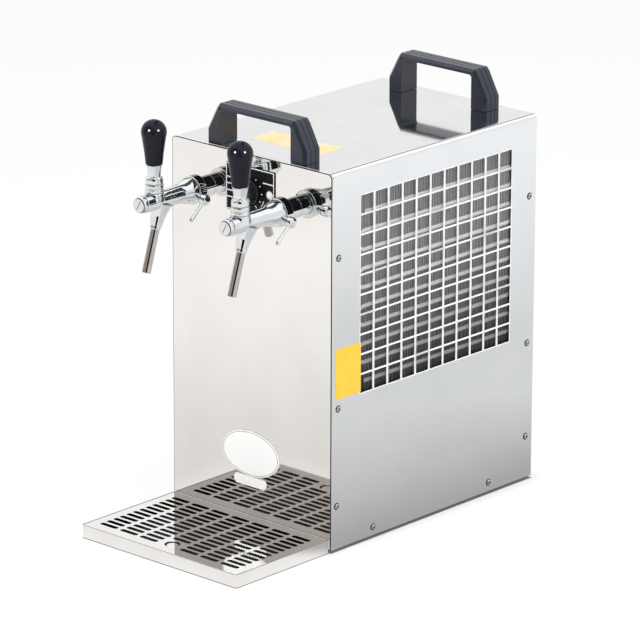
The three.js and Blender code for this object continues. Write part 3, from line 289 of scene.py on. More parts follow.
@dataclass(frozen=True)
class HandledKnob(Finish):
    """Buffed moulding that has lost some of its shine under many hands."""

    def extra(self, tree: Tree, shader: bpy.types.Node) -> None:
        """Lowers the reflection of the whole surface."""
        shader.inputs["Specular IOR Level"].default_value = 0.18


@dataclass(frozen=True)
class DustyMetal(Finish):
    """Metal with painted shade: darker towards its foot."""

    def tint(self, tree: Tree) -> Socket:
        """Colour socket: the other colour at the foot, the main one at the top, in ragged drifts."""
        place = add_node(tree, "ShaderNodeTexCoord").outputs["Generated"]
        parts = add_node(tree, "ShaderNodeSeparateXYZ", inputs={0: place})
        drift = add_node(
            tree, "ShaderNodeMath", {"operation": "MULTIPLY_ADD"},
            {0: self.noise(tree, self.pattern_mm), 1: 0.5, 2: parts.outputs["Z"]},
        )
        return ramp(tree, drift.outputs[0], [(0.28, self.other), (0.9, self.colour)])


# Stainless sheet, ground and buffed to a mirror: it shows its surroundings with a faint soft wave.
MIRROR_STEEL = Finish(
    "mirror_polished_stainless", "#F7F6F5", "#F2F1F0", 0.03, 0.012, 1.0, (60, 60, 90), 0.006, (55, 55, 80)
)
# Stainless sheet of the casing's wrap, buffed less: reflections stay but lose their edge.
WRAP_STEEL = Finish(
    "buffed_stainless_wrap", "#F6F7F8", "#F0F2F4", 0.055, 0.02, 1.0, (45, 70, 70), 0.008, (60, 60, 60)
)
# Zinc-plated mild steel, rolled and dull: patches of grey with a soft sheen.
ZINC_STEEL = Finish("zinc_plated_steel", "#B4B8BB", "#9DA2A6", 0.42, 0.08, 1.0, (14, 14, 14), 0.02, (3, 3, 3))
# Chrome plate on polished brass castings: bright, cool, with the casting's slight swell under it.
CHROME = Finish("chrome_plated_brass", "#E9EDEF", "#E1E6E9", 0.035, 0.015, 1.0, (9, 9, 9), 0.006, (9, 9, 9))
# Stainless tube for the spouts, drawn: fine streaks along its length.
SPOUT_STEEL = Finish(
    "drawn_stainless_tube", "#CFCAC6", "#B9B3AE", 0.12, 0.04, 1.0, (1.2, 1.2, 40), 0.001, (1.6, 1.6, 40)
)
# Glass-filled nylon of the grips, moulded: blue-grey, fine spark-eroded grain, satin.
GRIP_NYLON = Finish("moulded_nylon_grip", "#2C313C", "#262A34", 0.24, 0.05, 0.0, (20, 20, 20), 0.03, (0.9, 0.9, 0.9))
# Phenolic tap knob, moulded and buffed: blue-black with an even gloss.
PHENOLIC = HandledKnob(
    "buffed_phenolic_knob", "#0A0A0F", "#0C0D13", 0.1, 0.03, 0.0, (12, 12, 12), 0.004, (6, 6, 6), 1.5
)
# ABS of the small black fittings: even black with a faint grain.
BLACK_ABS = Finish("moulded_black_abs", "#1B1B1D", "#232326", 0.36, 0.05, 0.0, (6, 6, 6), 0.01, (0.6, 0.6, 0.6))
# Screws, turned and passivated: darker than the sheet, with a worn sheen.
SCREW_STEEL = Finish("passivated_screw_steel", "#CBCDCF", "#AEB0B2", 0.16, 0.05, 1.0, (2, 2, 2), 0.01, (1, 1, 1))
# Painted shade inside the pan: dull near-black steel that stands for the shade seen through the slots.
PAN_PIT_SHADE = Finish("stained_pan_steel", "#1E1D1C", "#141414", 0.6, 0.08, 0.3, (16, 16, 8), 0.03, (3, 3, 3))
# Painted highlight round the punched holes: a white matt rim that stands for the light their edges catch where the
# mirror doesn't.
HOLE_EDGE_HIGHLIGHT = Finish("tumbled_bright_edge", "#FBFBFA", "#EFEFEE", 0.4, 0.06, 0.0, (4, 4, 4), 0.01, (1, 1, 1))
# Tray steel, the same sheet polished brighter.
TRAY_STEEL = Finish(
    "bright_polished_tray_steel", "#FFFFFE", "#FBFAF8", 0.03, 0.012, 1.0, (40, 40, 40), 0.004, (45, 45, 45)
)
# Painted shade along the pan's rim and foot: a thin dark grey line for the shaded gap by the plate and the shade at the
# foot.
PAN_SHADE_LINE = Finish("cut_steel_edge", "#55504B", "#48433F", 0.6, 0.06, 0.0, (6, 6, 3), 0.01, (1, 1, 1))
# PVC edge trim pressed on the sheet: black, weathered to a satin.
SEAL_VINYL = Finish("pvc_edge_trim", "#1C1D1F", "#232426", 0.5, 0.05, 0.0, (8, 8, 30), 0.01, (1.2, 1.2, 6), 1.35)
# Screen-printed dial plate: black ink on sheet, slightly violet, dull.
DIAL_INK = Finish("printed_dial_black", "#100F14", "#0C0B10", 0.4, 0.05, 0.0, (10, 10, 10), 0.004, (1, 1, 1), 1.25)
# White screen-printed lines.
WHITE_INK = Finish("printed_white_ink", "#EDEDEB", "#E2E2E0", 0.4, 0.05, 0.0, (4, 4, 4), 0.003, (0.7, 0.7, 0.7))
# Polycarbonate lamp lens, moulded: milky white.
LAMP_LENS = Finish(
    "polycarbonate_lamp_lens", "#EFEFEC", "#E4E4E0", 0.2, 0.04, 0.0, (3, 3, 3), 0.01, (1.5, 1.5, 1.5), 1.58
)
# Nitrile rubber, moulded: black-grey, dry and dusty.
RUBBER = Finish("moulded_nitrile_rubber", "#2A2A2B", "#363637", 0.78, 0.08, 0.0, (5, 5, 5), 0.03, (0.7, 0.7, 0.7))
# Aluminium fins, stamped and left bare: grey at the top, with painted shade making them darker towards the foot.
FIN_ALUMINIUM = DustyMetal("bare_fin_aluminium", "#9B9A9A", "#3E3E42", 0.46, 0.1, 0.0, (5, 0.8, 26), 0.05, (3, 0.8, 12))
# Aluminium tube and castings, as drawn: mid grey with streaks.
ALUMINIUM = Finish("drawn_aluminium", "#B9BCBF", "#9A9DA0", 0.33, 0.08, 1.0, (12, 40, 12), 0.01, (2, 8, 2))
# Coil tube in front of the fins: the same metal gone dull, pale grey above, with painted shade making it darker below.
COIL_TUBE = DustyMetal("dull_aluminium_tube", "#D2D2CF", "#8C8C8B", 0.4, 0.08, 0.1, (4, 1.2, 4), 0.02, (3, 1, 3))
# Hard-drawn copper tube: warm with darker handling marks.
COPPER = Finish("hard_drawn_copper", "#C07E55", "#96593A", 0.32, 0.1, 1.0, (10, 10, 16), 0.01, (3, 3, 3))
# Expanded foam round the cooling block: dark, matt, with open-looking cells.
FOAM = CellFoam("closed_cell_foam", "#3B3B3E", "#2D2D30", 0.92, 0.04, 0.0, (20, 20, 20), 0.35, (2.2, 2.2, 2.2))
# Black enamel on pressed steel: gloss with a light orange peel.
ENAMEL = Finish("sprayed_black_enamel", "#1D1E20", "#27282B", 0.3, 0.05, 0.0, (15, 15, 15), 0.04, (2.4, 2.4, 2.4), 1.52)
# Grey polypropylene mouldings: slightly waxy.
GREY_PP = Finish(
    "moulded_grey_polypropylene", "#8E9194", "#808386", 0.45, 0.06, 0.0, (12, 12, 12), 0.02, (1, 1, 1), 1.49
)
# Clear hose for the beer.
HOSE = SoftHose("clear_pvc_hose", "#DDE1E4", "#CDD3D8", 0.2, 0.05, 0.0, (8, 8, 8), 0.01, (3, 3, 3), 1.53)
# Self-adhesive vinyl, left blank: even yellow with a slight tooth.
YELLOW_VINYL = Finish("blank_yellow_vinyl", "#F8CD3D", "#F5C634", 0.4, 0.05, 0.0, (14, 14, 14), 0.004, (0.8, 0.8, 0.8))
# Protective paper strip on the top, left blank: pale, bleached orange.
PALE_PAPER = Finish("bleached_paper_strip", "#FBE2BC", "#F6D69F", 0.62, 0.06, 0.0, (18, 18, 18), 0.01, (0.9, 0.9, 0.9))
# Enamelled oval and nameplate blanks: white gloss.
WHITE_ENAMEL = Finish("white_stove_enamel", "#FFFFFD", "#FBFAF7", 0.3, 0.04, 0.0, (30, 30, 30), 0.003, (6, 6, 6), 1.5)
# Fine border line of the plate, screen-printed in olive grey.
OLIVE_INK = Finish("printed_olive_ink", "#A9A78E", "#9A987F", 0.4, 0.05, 0.0, (4, 4, 4), 0.002, (0.8, 0.8, 0.8))





# Meshes


def rounded(profile: Profile, radius: float, steps: int = 3) -> Profile:
    """Rounds the inner corners of a profile.

    Args:
        profile: Points in order.
        radius: Length taken off each side of a corner, at most 45% of the shorter one.
        steps: Segments in each round.

    Returns:
        The points with a curve at each corner.
    """
    made = [profile[0]]
    for before, here, after in zip(profile, profile[1:], profile[2:]):
        a, b, c = Vector(before), Vector(here), Vector(after)
        cut = min(radius, 0.45 * (a - b).length, 0.45 * (c - b).length)
        start, end = b + (a - b).normalized() * cut, b + (c - b).normalized() * cut
        for i in range(steps + 1):
            t = i / steps
            point = start * (1 - t) ** 2 + b * 2 * t * (1 - t) + end * t**2
            made.append((point.x, point.y))
    return [*made, profile[-1]]


def eased(points: Profile, steps: int) -> Profile:
    """Draws a smooth curve through points.

    Args:
        points: Points in order.
        steps: Segments between two of them.

    Returns:
        The curve's points.
    """
    made = []
    vectors = [Vector(p) for p in points]
    padded = [vectors[0], *vectors, vectors[-1]]
    for a, b, c, d in zip(padded, padded[1:], padded[2:], padded[3:]):
        for k in range(steps):
            t = k / steps
            curve = 2 * b + (c - a) * t + (2 * a - 5 * b + 4 * c - d) * t**2 + (3 * b - a - 3 * c + d) * t**3
            made.append(tuple(0.5 * curve))
    return [*made, tuple(vectors[-1])]


def ring(radius: float, count: int) -> Profile:
    """Points on a circle."""
    angles = (2 * math.pi * i / count for i in range(count))
    return [(radius * math.cos(a), radius * math.sin(a)) for a in angles]


def round_hole(x: float, y: float, radius: float, count: int) -> Profile:
    """Outline of a round hole."""
    return [(x + a, y + b) for a, b in ring(radius, count)]


def arc(x: float, y: float, radius: float, start: float, sweep: float, steps: int) -> Profile:
    """Points on an arc.

    Args:
        x: First coordinate of the centre.
        y: Second coordinate of the centre.
        radius: Its radius.
        start: Angle of the first point, in half turns.
        sweep: Angle from the first point to the last, in half turns.
        steps: Segments in the arc.

    Returns:
        The points with both ends.
    """
    angles = (math.pi * (start + sweep * i / steps) for i in range(steps + 1))
    return [(x + radius * math.cos(a), y + radius * math.sin(a)) for a in angles]


def rectangle(x0: float, y0: float, x1: float, y1: float, radius: float = 0.0) -> Profile:
    """A rectangle between two corners, anticlockwise, with round corners where a radius is given."""
    if not radius:
        return [(x0, y0), (x1, y0), (x1, y1), (x0, y1)]
    left, right, low, high = x0 + radius, x1 - radius, y0 + radius, y1 - radius
    corners = ((right, low, -0.5), (right, high, 0.0), (left, high, 0.5), (left, low, 1.0))
    return [p for x, y, turn in corners for p in arc(x, y, radius, turn, 0.5, 6)]


def arch(half: float, bottom: float, top: float, radius: float) -> Profile:
    """An upright rectangle whose two upper corners are round."""
    corners = ((half - radius, 0.0), (radius - half, 0.5))
    upper = [p for x, turn in corners for p in arc(x, top - radius, radius, turn, 0.5, 10)]
    return [(-half, bottom), (half, bottom), *upper]


def mirrored(line: Profile) -> Profile:
    """A line followed by its mirror image across X, back to the other side."""
    return [*line, *((-x, z) for x, z in reversed(line))]


def level(shape: Profile, z: float) -> list[Vector]:
    """An outline laid flat at one height."""
    return [Vector((x, y, z)) for x, y in shape]


def soften(thing: bpy.types.Object, width: float, sharp: float, segments: int = 2, harden: bool = False) -> None:
    """Bevels a piece's sharp edges.

    Args:
        thing: The piece.
        width: Width of the bevel in millimetres.
        sharp: Angle in degrees over which an edge is sharp.
        segments: Segments of the bevel.
        harden: Whether the faces beside it keep their own normals.
    """
    edge = thing.modifiers.new("edge", "BEVEL")
    edge.width = width * MM
    edge.segments = segments
    edge.limit_method = "ANGLE"
    edge.angle_limit = math.radians(sharp)
    edge.harden_normals = harden


class Draft:
    """Vertices and faces of one piece, in millimetres in the cooler's own frame."""

    front: float = 0.0

    def __init__(self) -> None:
        """Starts an empty draft."""
        self.points: list[Vector] = []
        self.faces: list[tuple[int, ...]] = []

    @classmethod
    def cad_box(cls, node: str) -> list[Point]:
        """Lowest and highest corner of a CAD node, in the cooler's own millimetres."""
        return [(c.x / MM, (c.y - cls.front) / MM, c.z / MM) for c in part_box(node)]

    def put(self, points: Iterable[Sequence[float]], faces: Iterable[Sequence[int]]) -> Draft:
        """Adds points and the faces between them."""
        base = len(self.points)
        self.points += [Vector(p) for p in points]
        self.faces += [tuple(base + i for i in face) for face in faces]
        return self

    def join(self, other: Draft) -> Draft:
        """Adds another draft's points and faces."""
        return self.put(other.points, other.faces)

    def skin(self, rows: list[list[Vector]], closed: bool = True, capped: bool = True) -> Draft:
        """Joins rows of points of one length with a skin.

        Args:
            rows: Rows of points, each one a section.
            closed: Whether each section closes on itself.
            capped: Whether the first and last sections are filled.

        Returns:
            This draft.
        """
        count = len(rows[0])
        faces: list[Sequence[int]] = []
        for r in range(len(rows) - 1):
            for i in range(count if closed else count - 1):
                k = (i + 1) % count
                faces.append((r * count + i, r * count + k, (r + 1) * count + k, (r + 1) * count + i))
        if capped:
            faces.append(tuple(range(count))[::-1])
            faces.append(tuple((len(rows) - 1) * count + i for i in range(count)))
        return self.put([p for row in rows for p in row], faces)

    def turned(self, profile: Profile, place: Sequence[float], axis: Axis, count: int = 48) -> Draft:
        """Turns a profile about an axis.

        Args:
            profile: Points of radius and station; a radius of zero closes the end.
            place: Point on the axis at station zero.
            axis: Direction of the axis.
            count: Segments round the axis.

        Returns:
            This draft.
        """
        along, right, up = axis.value
        centre = Vector(place)
        rows = []
        for radius, station in profile:
            circle = ring(max(radius, 1e-4), count)
            rows.append([centre + along * station + right * x + up * z for x, z in circle])
        return self.skin(rows)

    def pulled(self, shape: Profile, start: float, end: float, axis: Axis) -> Draft:
        """Pulls a flat outline along an axis, from one station to another."""
        along, right, up = axis.value
        return self.skin([[along * s + right * a + up * b for a, b in shape] for s in (start, end)])

    def box(self, low: Sequence[float], high: Sequence[float]) -> Draft:
        """Adds a box between two corners."""
        return self.pulled(rectangle(low[0], low[1], high[0], high[1]), low[2], high[2], Axis.UP)

    def swept(self, path: Sequence[Sequence[float]], radii: Sequence[float], count: int) -> Draft:
        """Sweeps a round section along a path.

        Args:
            path: Points of the path.
            radii: Radius at each point, or one for all.
            count: Segments round the path.

        Returns:
            This draft.
        """
        line = [Vector(p) for p in path]
        sizes = list(radii) if len(radii) > 1 else [radii[0]] * len(line)
        rows = []
        side: Vector | None = None
        for i, here in enumerate(line):
            along = (line[min(i + 1, len(line) - 1)] - line[max(i - 1, 0)]).normalized()
            if side is None:
                side = along.cross(Vector((0, 1, 0)))
                if side.length < 0.1:
                    side = along.cross(Vector((1, 0, 0)))
            side = (side - along * side.dot(along)).normalized()
            other = along.cross(side)
            rows.append([here + side * a + other * b for a, b in ring(max(sizes[i], 1e-4), count)])
        return self.skin(rows)

    def plate(self, shape: Profile, holes: Sequence[Profile], start: float, end: float, axis: Axis) -> Draft:
        """Adds a flat plate with holes.

        Args:
            shape: Outline's points.
            holes: Outlines of the holes.
            start: Station of one face.
            end: Station of the other face.
            axis: Direction through the plate.

        Returns:
            This draft.
        """
        along, right, up = axis.value
        work = bmesh.new()
        for loop in (shape, *holes):
            corners = [work.verts.new((a, b, 0)) for a, b in loop]
            for a, b in zip(corners, corners[1:] + corners[:1]):
                work.edges.new((a, b))
        bmesh.ops.triangle_fill(work, use_beauty=True, use_dissolve=False, edges=work.edges[:])
        work.verts.index_update()
        flat = [v.co.copy() for v in work.verts]
        faces = [tuple(v.index for v in f.verts) for f in work.faces]
        border = [tuple(v.index for v in e.verts) for e in work.edges if len(e.link_faces) == 1]
        work.free()
        size = len(flat)
        points = [along * s + right * p.x + up * p.y for s in (start, end) for p in flat]
        every: list[Sequence[int]] = [*faces, *(tuple(size + i for i in face[::-1]) for face in faces)]
        every += [(a, b, size + b, size + a) for a, b in border]
        return self.put(points, every)

    def moved(self, turn: Matrix, shift: Sequence[float]) -> Draft:
        """Turns every point about the origin, then shifts it."""
        self.points = [turn @ p + Vector(shift) for p in self.points]
        return self

    def piece(
        self,
        name: str,
        finish: Finish,
        slot: str,
        replaces: str = "",
        body: str = "casing",
        bevel: float = 0.0,
        sharp: float = 40.0,
        segments: int = 2,
    ) -> None:
        """Makes the piece and hands it to the frame.

        Args:
            name: Name of the piece.
            finish: Its surface.
            slot: Material slot of the record; not used.
            replaces: CAD node that it stands for, if any.
            body: Body it moves with.
            bevel: Width of a bevel on its sharp edges, in millimetres.
            sharp: Angle in degrees over which an edge stays sharp.
            segments: Segments of the bevel.
        """
        mesh = bpy.data.meshes.new(name)
        mesh.from_pydata([(p.x * MM, self.front + p.y * MM, p.z * MM) for p in self.points], [], self.faces)
        work = bmesh.new()
        work.from_mesh(mesh)
        bmesh.ops.remove_doubles(work, verts=work.verts, dist=1e-6)
        bmesh.ops.recalc_face_normals(work, faces=work.faces)
        work.to_mesh(mesh)
        work.free()
        mesh.polygons.foreach_set("use_smooth", [True] * len(mesh.polygons))
        mesh.set_sharp_from_angle(angle=math.radians(sharp))
        mesh.materials.append(finish.material())
        made = bpy.data.objects.new(name, mesh)
        bpy.context.scene.collection.objects.link(made)
        if bevel:
            soften(made, bevel, sharp, segments, True)
        made.modifiers.new("even", "WEIGHTED_NORMAL").keep_sharp = True
        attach(made, body)
        if replaces:
            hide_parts(replaces)
        LOG.info("%s on %s", name, body)


# Sub-assemblies


@dataclass
class Casing:
    """Polished casing: front sheet, wrap with its punched grilles, feet, screws and blank labels."""

    half: float = 122.0
    bottom: float = 3.0
    top: float = 443.0
    sheet: float = 1.0
    bend: float = 6.0
    rim: float = 3.0
    seam: float = 0.3
    border: float = 0.85
    shank_hole: float = 12.4
    hole_y: float = 21.0
    hole_z: float = 21.1
    pitch_y: float = 23.8
    pitch_z: float = 23.3
    columns: int = 11
    first_y: float = 48.5
    outlet_z: float = 178.75
    outlet_rows: int = 10
    intake_z: float = 39.45
    intake_rows: int = 3
    screw_radius: float = 3.4
    rim_width: float = 1.1

    def outline(self, inset: float, radius: float) -> Profile:
        """The front's outline, drawn in from the edge all round."""
        return arch(self.half - inset, self.bottom + inset, self.top - inset, radius)

    def front_sheet(self) -> None:
        """Front sheet as a mirror plate inside a dark edge seal, with its flange behind."""
        inset = self.border
        holes = [round_hole(side.value * TAP_SPACING / 2, TAP_HEIGHT, self.shank_hole, 48) for side in Side]
        holes.append(round_hole(0.0, DIAL_HEIGHT, DIAL_HOLE, 32))
        sheet = Draft().plate(self.outline(inset, self.bend - inset), holes, 0.0, self.rim - 0.4, Axis.BACK)
        flange = [self.outline(1.2, self.bend - 1.2)]
        sheet.plate(self.outline(0.1, self.bend), flange, 1.2, self.rim, Axis.BACK)
        sheet.piece("front_sheet", MIRROR_STEEL, "polished_steel", "front_panel", bevel=0.35, segments=3)
        inner = self.outline(inset + 0.02, self.bend - inset)
        seal = Draft().plate(self.outline(0.05, self.bend), [inner], 0.12, 1.15, Axis.BACK)
        seal.piece("front_edge_seal", SEAL_VINYL, "black_plastic", bevel=0.25)

    @staticmethod
    def hole_edges(first: float, pitch: float, width: float, count: int) -> list[float]:
        """Where a row of holes begins and ends, hole by hole."""
        return [first + k * pitch + edge for k in range(count) for edge in (0.0, width)]

    def wrap_section(self, inset: float) -> Profile:
        """Section of the wrap from the right bottom edge round to the left one, with the holes' heights.

        Args:
            inset: How far it lies inside the outer face.

        Returns:
            Points across X and Z.
        """
        half, top, radius = self.half - inset, self.top - inset, self.bend - inset
        outlet = self.hole_edges(self.outlet_z, self.pitch_z, self.hole_z, self.outlet_rows)
        intake = self.hole_edges(self.intake_z, self.pitch_z, self.hole_z, self.intake_rows)
        right = [(half, z) for z in (self.bottom, *outlet)]
        left = [(-half, z) for z in (*reversed(intake), self.bottom)]
        return [*right, *mirrored(arc(half - radius, top - radius, radius, 0.0, 0.5, 12)), *left]

    def wrap(self) -> None:
        """Both sides and the top in one bent sheet, with square holes punched in both sides."""
        edges = self.hole_edges(self.first_y, self.pitch_y, self.hole_y, self.columns)
        stations = [self.rim + self.seam, *edges, CASING_DEPTH]
        sections = [self.wrap_section(0.0), self.wrap_section(self.sheet)]
        count, last = len(sections[0]), len(stations) - 1
        points = [(x, y, z) for section in sections for y in stations for x, z in section]
        shell = len(stations) * count

        def open_cell(row: int, column: int) -> bool:
            """Whether the cell between two section points and two stations is a hole."""
            if column % 2 == 0 or not 0 < column < last:
                return False
            right = row % 2 == 1 and row < 2 * self.outlet_rows
            from_left = count - 2 - row
            left = from_left % 2 == 1 and from_left < 2 * self.intake_rows
            return right or left

        faces: list[Sequence[int]] = []
        for column in range(last):
            for row in range(count - 1):
                a, b = column * count + row, column * count + row + 1
                c, d = b + count, a + count
                if open_cell(row, column):
                    faces += [(p, q, q + shell, p + shell) for p, q in ((a, b), (b, c), (c, d), (d, a))]
                else:
                    faces += [(a, b, c, d), (d + shell, c + shell, b + shell, a + shell)]
        ends = [(column * count + row, 1) for column in (0, last) for row in range(count - 1)]
        ends += [(column * count + row, count) for row in (0, count - 1) for column in range(last)]
        faces += [(a, a + on, a + on + shell, a + shell) for a, on in ends]
        Draft().put(points, faces).piece("casing_wrap", WRAP_STEEL, "polished_steel", "cover", bevel=0.45)

    def punched_edges(self) -> None:
        """Painted highlights: white rims round the square holes of both grilles, standing for the light their punched
        edges catch.
        """
        rims = Draft()
        wide = self.rim_width
        grilles = ((Axis.RIGHT, self.outlet_z, self.outlet_rows), (Axis.LEFT, self.intake_z, self.intake_rows))
        for axis, low, rows in grilles:
            for i in range(self.columns * rows):
                y = self.first_y + i % self.columns * self.pitch_y
                z = low + i // self.columns * self.pitch_z
                hole = rectangle(y, z, y + self.hole_y, z + self.hole_z)
                outside = rectangle(y - wide, z - wide, y + self.hole_y + wide, z + self.hole_z + wide)
                rims.plate(outside, [hole], self.half - 0.1, self.half + 0.03, axis)
        rims.piece("punched_edges", HOLE_EDGE_HIGHLIGHT, "polished_steel")

    def screw(self, name: str, place: Point, axis: Axis) -> None:
        """One pan-head screw with a cross recess, and a dark ring and cross of painted shade under and in it.

        Args:
            name: Name of the piece.
            place: Foot of the head on the sheet.
            axis: Direction in which the head stands.
        """
        r = self.screw_radius
        head = [(1.0, 0.0), (1.0, 0.7), (0.93, 1.25), (0.78, 1.65), (0.58, 1.88), (0.42, 1.95)]
        along, right, up = axis.value
        centre = Vector(place)
        rows = [[centre + along * s + right * a + up * b for a, b in ring(r * q, 32)] for q, s in head]
        for depth, share in ((1.7, 0.4), (1.1, 0.3)):
            lobes = []
            for i in range(32):
                angle = 2 * math.pi * i / 32
                reach = r * share * (0.62 + 0.55 * abs(math.cos(2 * angle)) ** 3)
                lobes.append(centre + along * depth + right * reach * math.cos(angle) + up * reach * math.sin(angle))
            rows.append(lobes)
        Draft().skin(rows).piece(name, SCREW_STEEL, "chrome", sharp=38)
        # Painted shade: a dark ring for the head's shadow on the sheet, and a dark cross in the recess.
        dark = Draft().turned([(0, 0.01), (r + 0.85, 0.01), (r + 0.8, 0.25), (0, 0.25)], place, axis, 32)
        for wide, high in ((0.46, 0.17), (0.17, 0.46)):
            cross = rectangle(-r * wide, -r * high, r * wide, r * high)
            flat = [centre + right * a + up * b for a, b in cross]
            dark.skin([[p + along * 1.35 for p in flat], [p + along * 1.75 for p in flat]])
        dark.piece(f"{name}_shade", RUBBER, "rubber", sharp=38)

    def screws(self) -> None:
        """Screws along the front, lower and rear edges of both sides, and round the rear sheet."""
        places = [(12, 345), (12, 169), (10, 54), (72, 13), (274, 14), (340, 347), (340, 169), (340, 54)]
        for axis, x, word in ((Axis.RIGHT, self.half, "right"), (Axis.LEFT, -self.half, "left")):
            for i, (y, z) in enumerate(places):
                self.screw(f"side_screw_{word}_{i + 1}", (x, y, z), axis)
        rear = [(x, z) for z in (425, 225, 22) for x in (-108, 108)]
        for i, (x, z) in enumerate(rear):
            self.screw(f"rear_screw_{i + 1}", (x, CASING_DEPTH, z), Axis.BACK)

    def feet(self) -> None:
        """Low rubber feet with a rounded sole."""
        for end in ("front", "rear"):
            for side in Side:
                node = f"foot_{end}_{side.word}"
                low, high = Draft.cad_box(node)
                radius, rise = (high[0] - low[0]) / 2, high[2] - low[2]
                profile = rounded([(0, 0), (radius - 3.4, 0), (radius - 1.5, 0.5), (radius, rise), (0, rise)], 0.5)
                foot = Draft().turned(profile, ((low[0] + high[0]) / 2, (low[1] + high[1]) / 2, 0), Axis.UP, 40)
                foot.piece(f"{node}_pad", RUBBER, "rubber", node, sharp=32)

    def labels(self) -> None:
        """Blank labels and plates: their places stay bare."""
        half, top = self.half, self.top
        label = Draft().box((half, 7.6, 180.3), (half + 0.15, 49.4, 239.0))
        label.piece("side_label_blank", YELLOW_VINYL, "lamp_white", bevel=0.05)
        strip = Draft().box((-49, 50, top), (57, 90, top + 0.12))
        strip.piece("top_strip_blank", PALE_PAPER, "lamp_white", bevel=0.04)

        def oval(share: float) -> Profile:
            """Outline of the oval plate, or of a line inside it."""
            return [(44 * share * c, 90.5 + 27 * (1.5 * share - 0.5) * s) for c, s in ring(1.0, 72)]

        plate = Draft().pulled(oval(1.0), 0.02, 1.3, Axis.FORWARD)
        plate.piece("oval_plate_blank", WHITE_ENAMEL, "lamp_white", bevel=0.5, segments=3)
        line = Draft().plate(oval(0.966), [oval(0.948)], 1.2, 1.38, Axis.FORWARD)
        line.piece("oval_plate_line", OLIVE_INK, "grey_plastic")
        small = Draft().pulled(rectangle(-26, 51, 24, 63, 5.5), 0.02, 0.8, Axis.FORWARD)
        small.piece("small_plate_blank", WHITE_ENAMEL, "lamp_white", bevel=0.3, segments=3)

    def build(self) -> None:
        """Builds and dresses the casing."""
        self.front_sheet()
        self.wrap()
        self.punched_edges()
        self.screws()
        self.feet()
        self.labels()


@dataclass
class CarryGrip:
    """Moulded bridge grip with slanted shoulders and lengthwise grooves."""

    node: str
    half: float = 75.0
    thickness: float = 28.0
    height: float = 47.0
    leg: float = 15.5
    slope_height: float = 42.5
    slope_run: float = 14.5
    top_run: float = 18.5
    opening_half: float = 53.5
    opening_height: float = 40.5
    opening_round: float = 3.5
    chamfer: float = 3.5

    def section(self, inset: float) -> Profile:
        """Outer line from the right foot over the bar to the left foot.

        Args:
            inset: How far the line lies inside the widest one.

        Returns:
            Points across X and Z over the casing's top.
        """
        right = [
            (self.half - inset, 0.0),
            (self.half - inset, self.leg - 0.25 * inset),
            (self.half - self.slope_run - 0.9 * inset, self.slope_height - 0.6 * inset),
            (self.half - self.top_run - 0.5 * inset, self.height - inset),
        ]
        return mirrored(right)

    def build(self) -> None:
        """Builds the grip as rows of sections across its thickness."""
        front, base = Draft.cad_box(self.node)[0][1:]
        reach, rise, radius = self.opening_half, self.opening_height, self.opening_round
        inner = mirrored([(reach, 0.0), *arc(reach - radius, rise - radius, radius, 0.0, 0.5, 4)])
        # Each station across the grip: distance from its front face, and inset of the outer line.
        near = [
            (0.0, self.chamfer), (self.chamfer * 0.96, 0.15), (self.chamfer, 0.0), (9.6, 0.0), (10.0, 0.7),
            (10.8, 0.7), (11.2, 0.0),
        ]
        stations = [*near, *((self.thickness - s, inset) for s, inset in reversed(near))]

        def row(line: Profile, station: float) -> list[Vector]:
            """A line at one station across the grip."""
            return [Vector((x, front + station, base + z)) for x, z in line]

        rows = [row(self.section(inset), station) for station, inset in stations]
        draft = Draft().skin(rows, closed=False, capped=False)
        outer_count, inner_count, start = len(rows[0]), len(inner), len(draft.points)
        draft.skin([row(inner, s) for s in (0.0, self.thickness)], closed=False, capped=False)
        # Front and rear faces: an edge of the outer line, and the first and last point of the opening.
        spans = ((0, 0, 0), (1, 0, 1), (2, 1, 4), (3, 4, 6), (4, 6, 7), (6, 11, 11), (5, 10, 11), (4, 7, 10))
        for outer, hole in ((0, start), ((len(stations) - 1) * outer_count, start + inner_count)):
            for i, first, last in spans:
                draft.faces.append((outer + i, outer + i + 1, *range(hole + last, hole + first - 1, -1)))
        for foot, column in ((0, 0), (outer_count - 1, inner_count - 1)):
            line = [r * outer_count + foot for r in range(len(stations))]
            draft.faces.append((*line, start + inner_count + column, start + column))
        draft.piece(f"{self.node}_moulding", GRIP_NYLON, "grip_plastic", self.node, bevel=0.5, sharp=24)


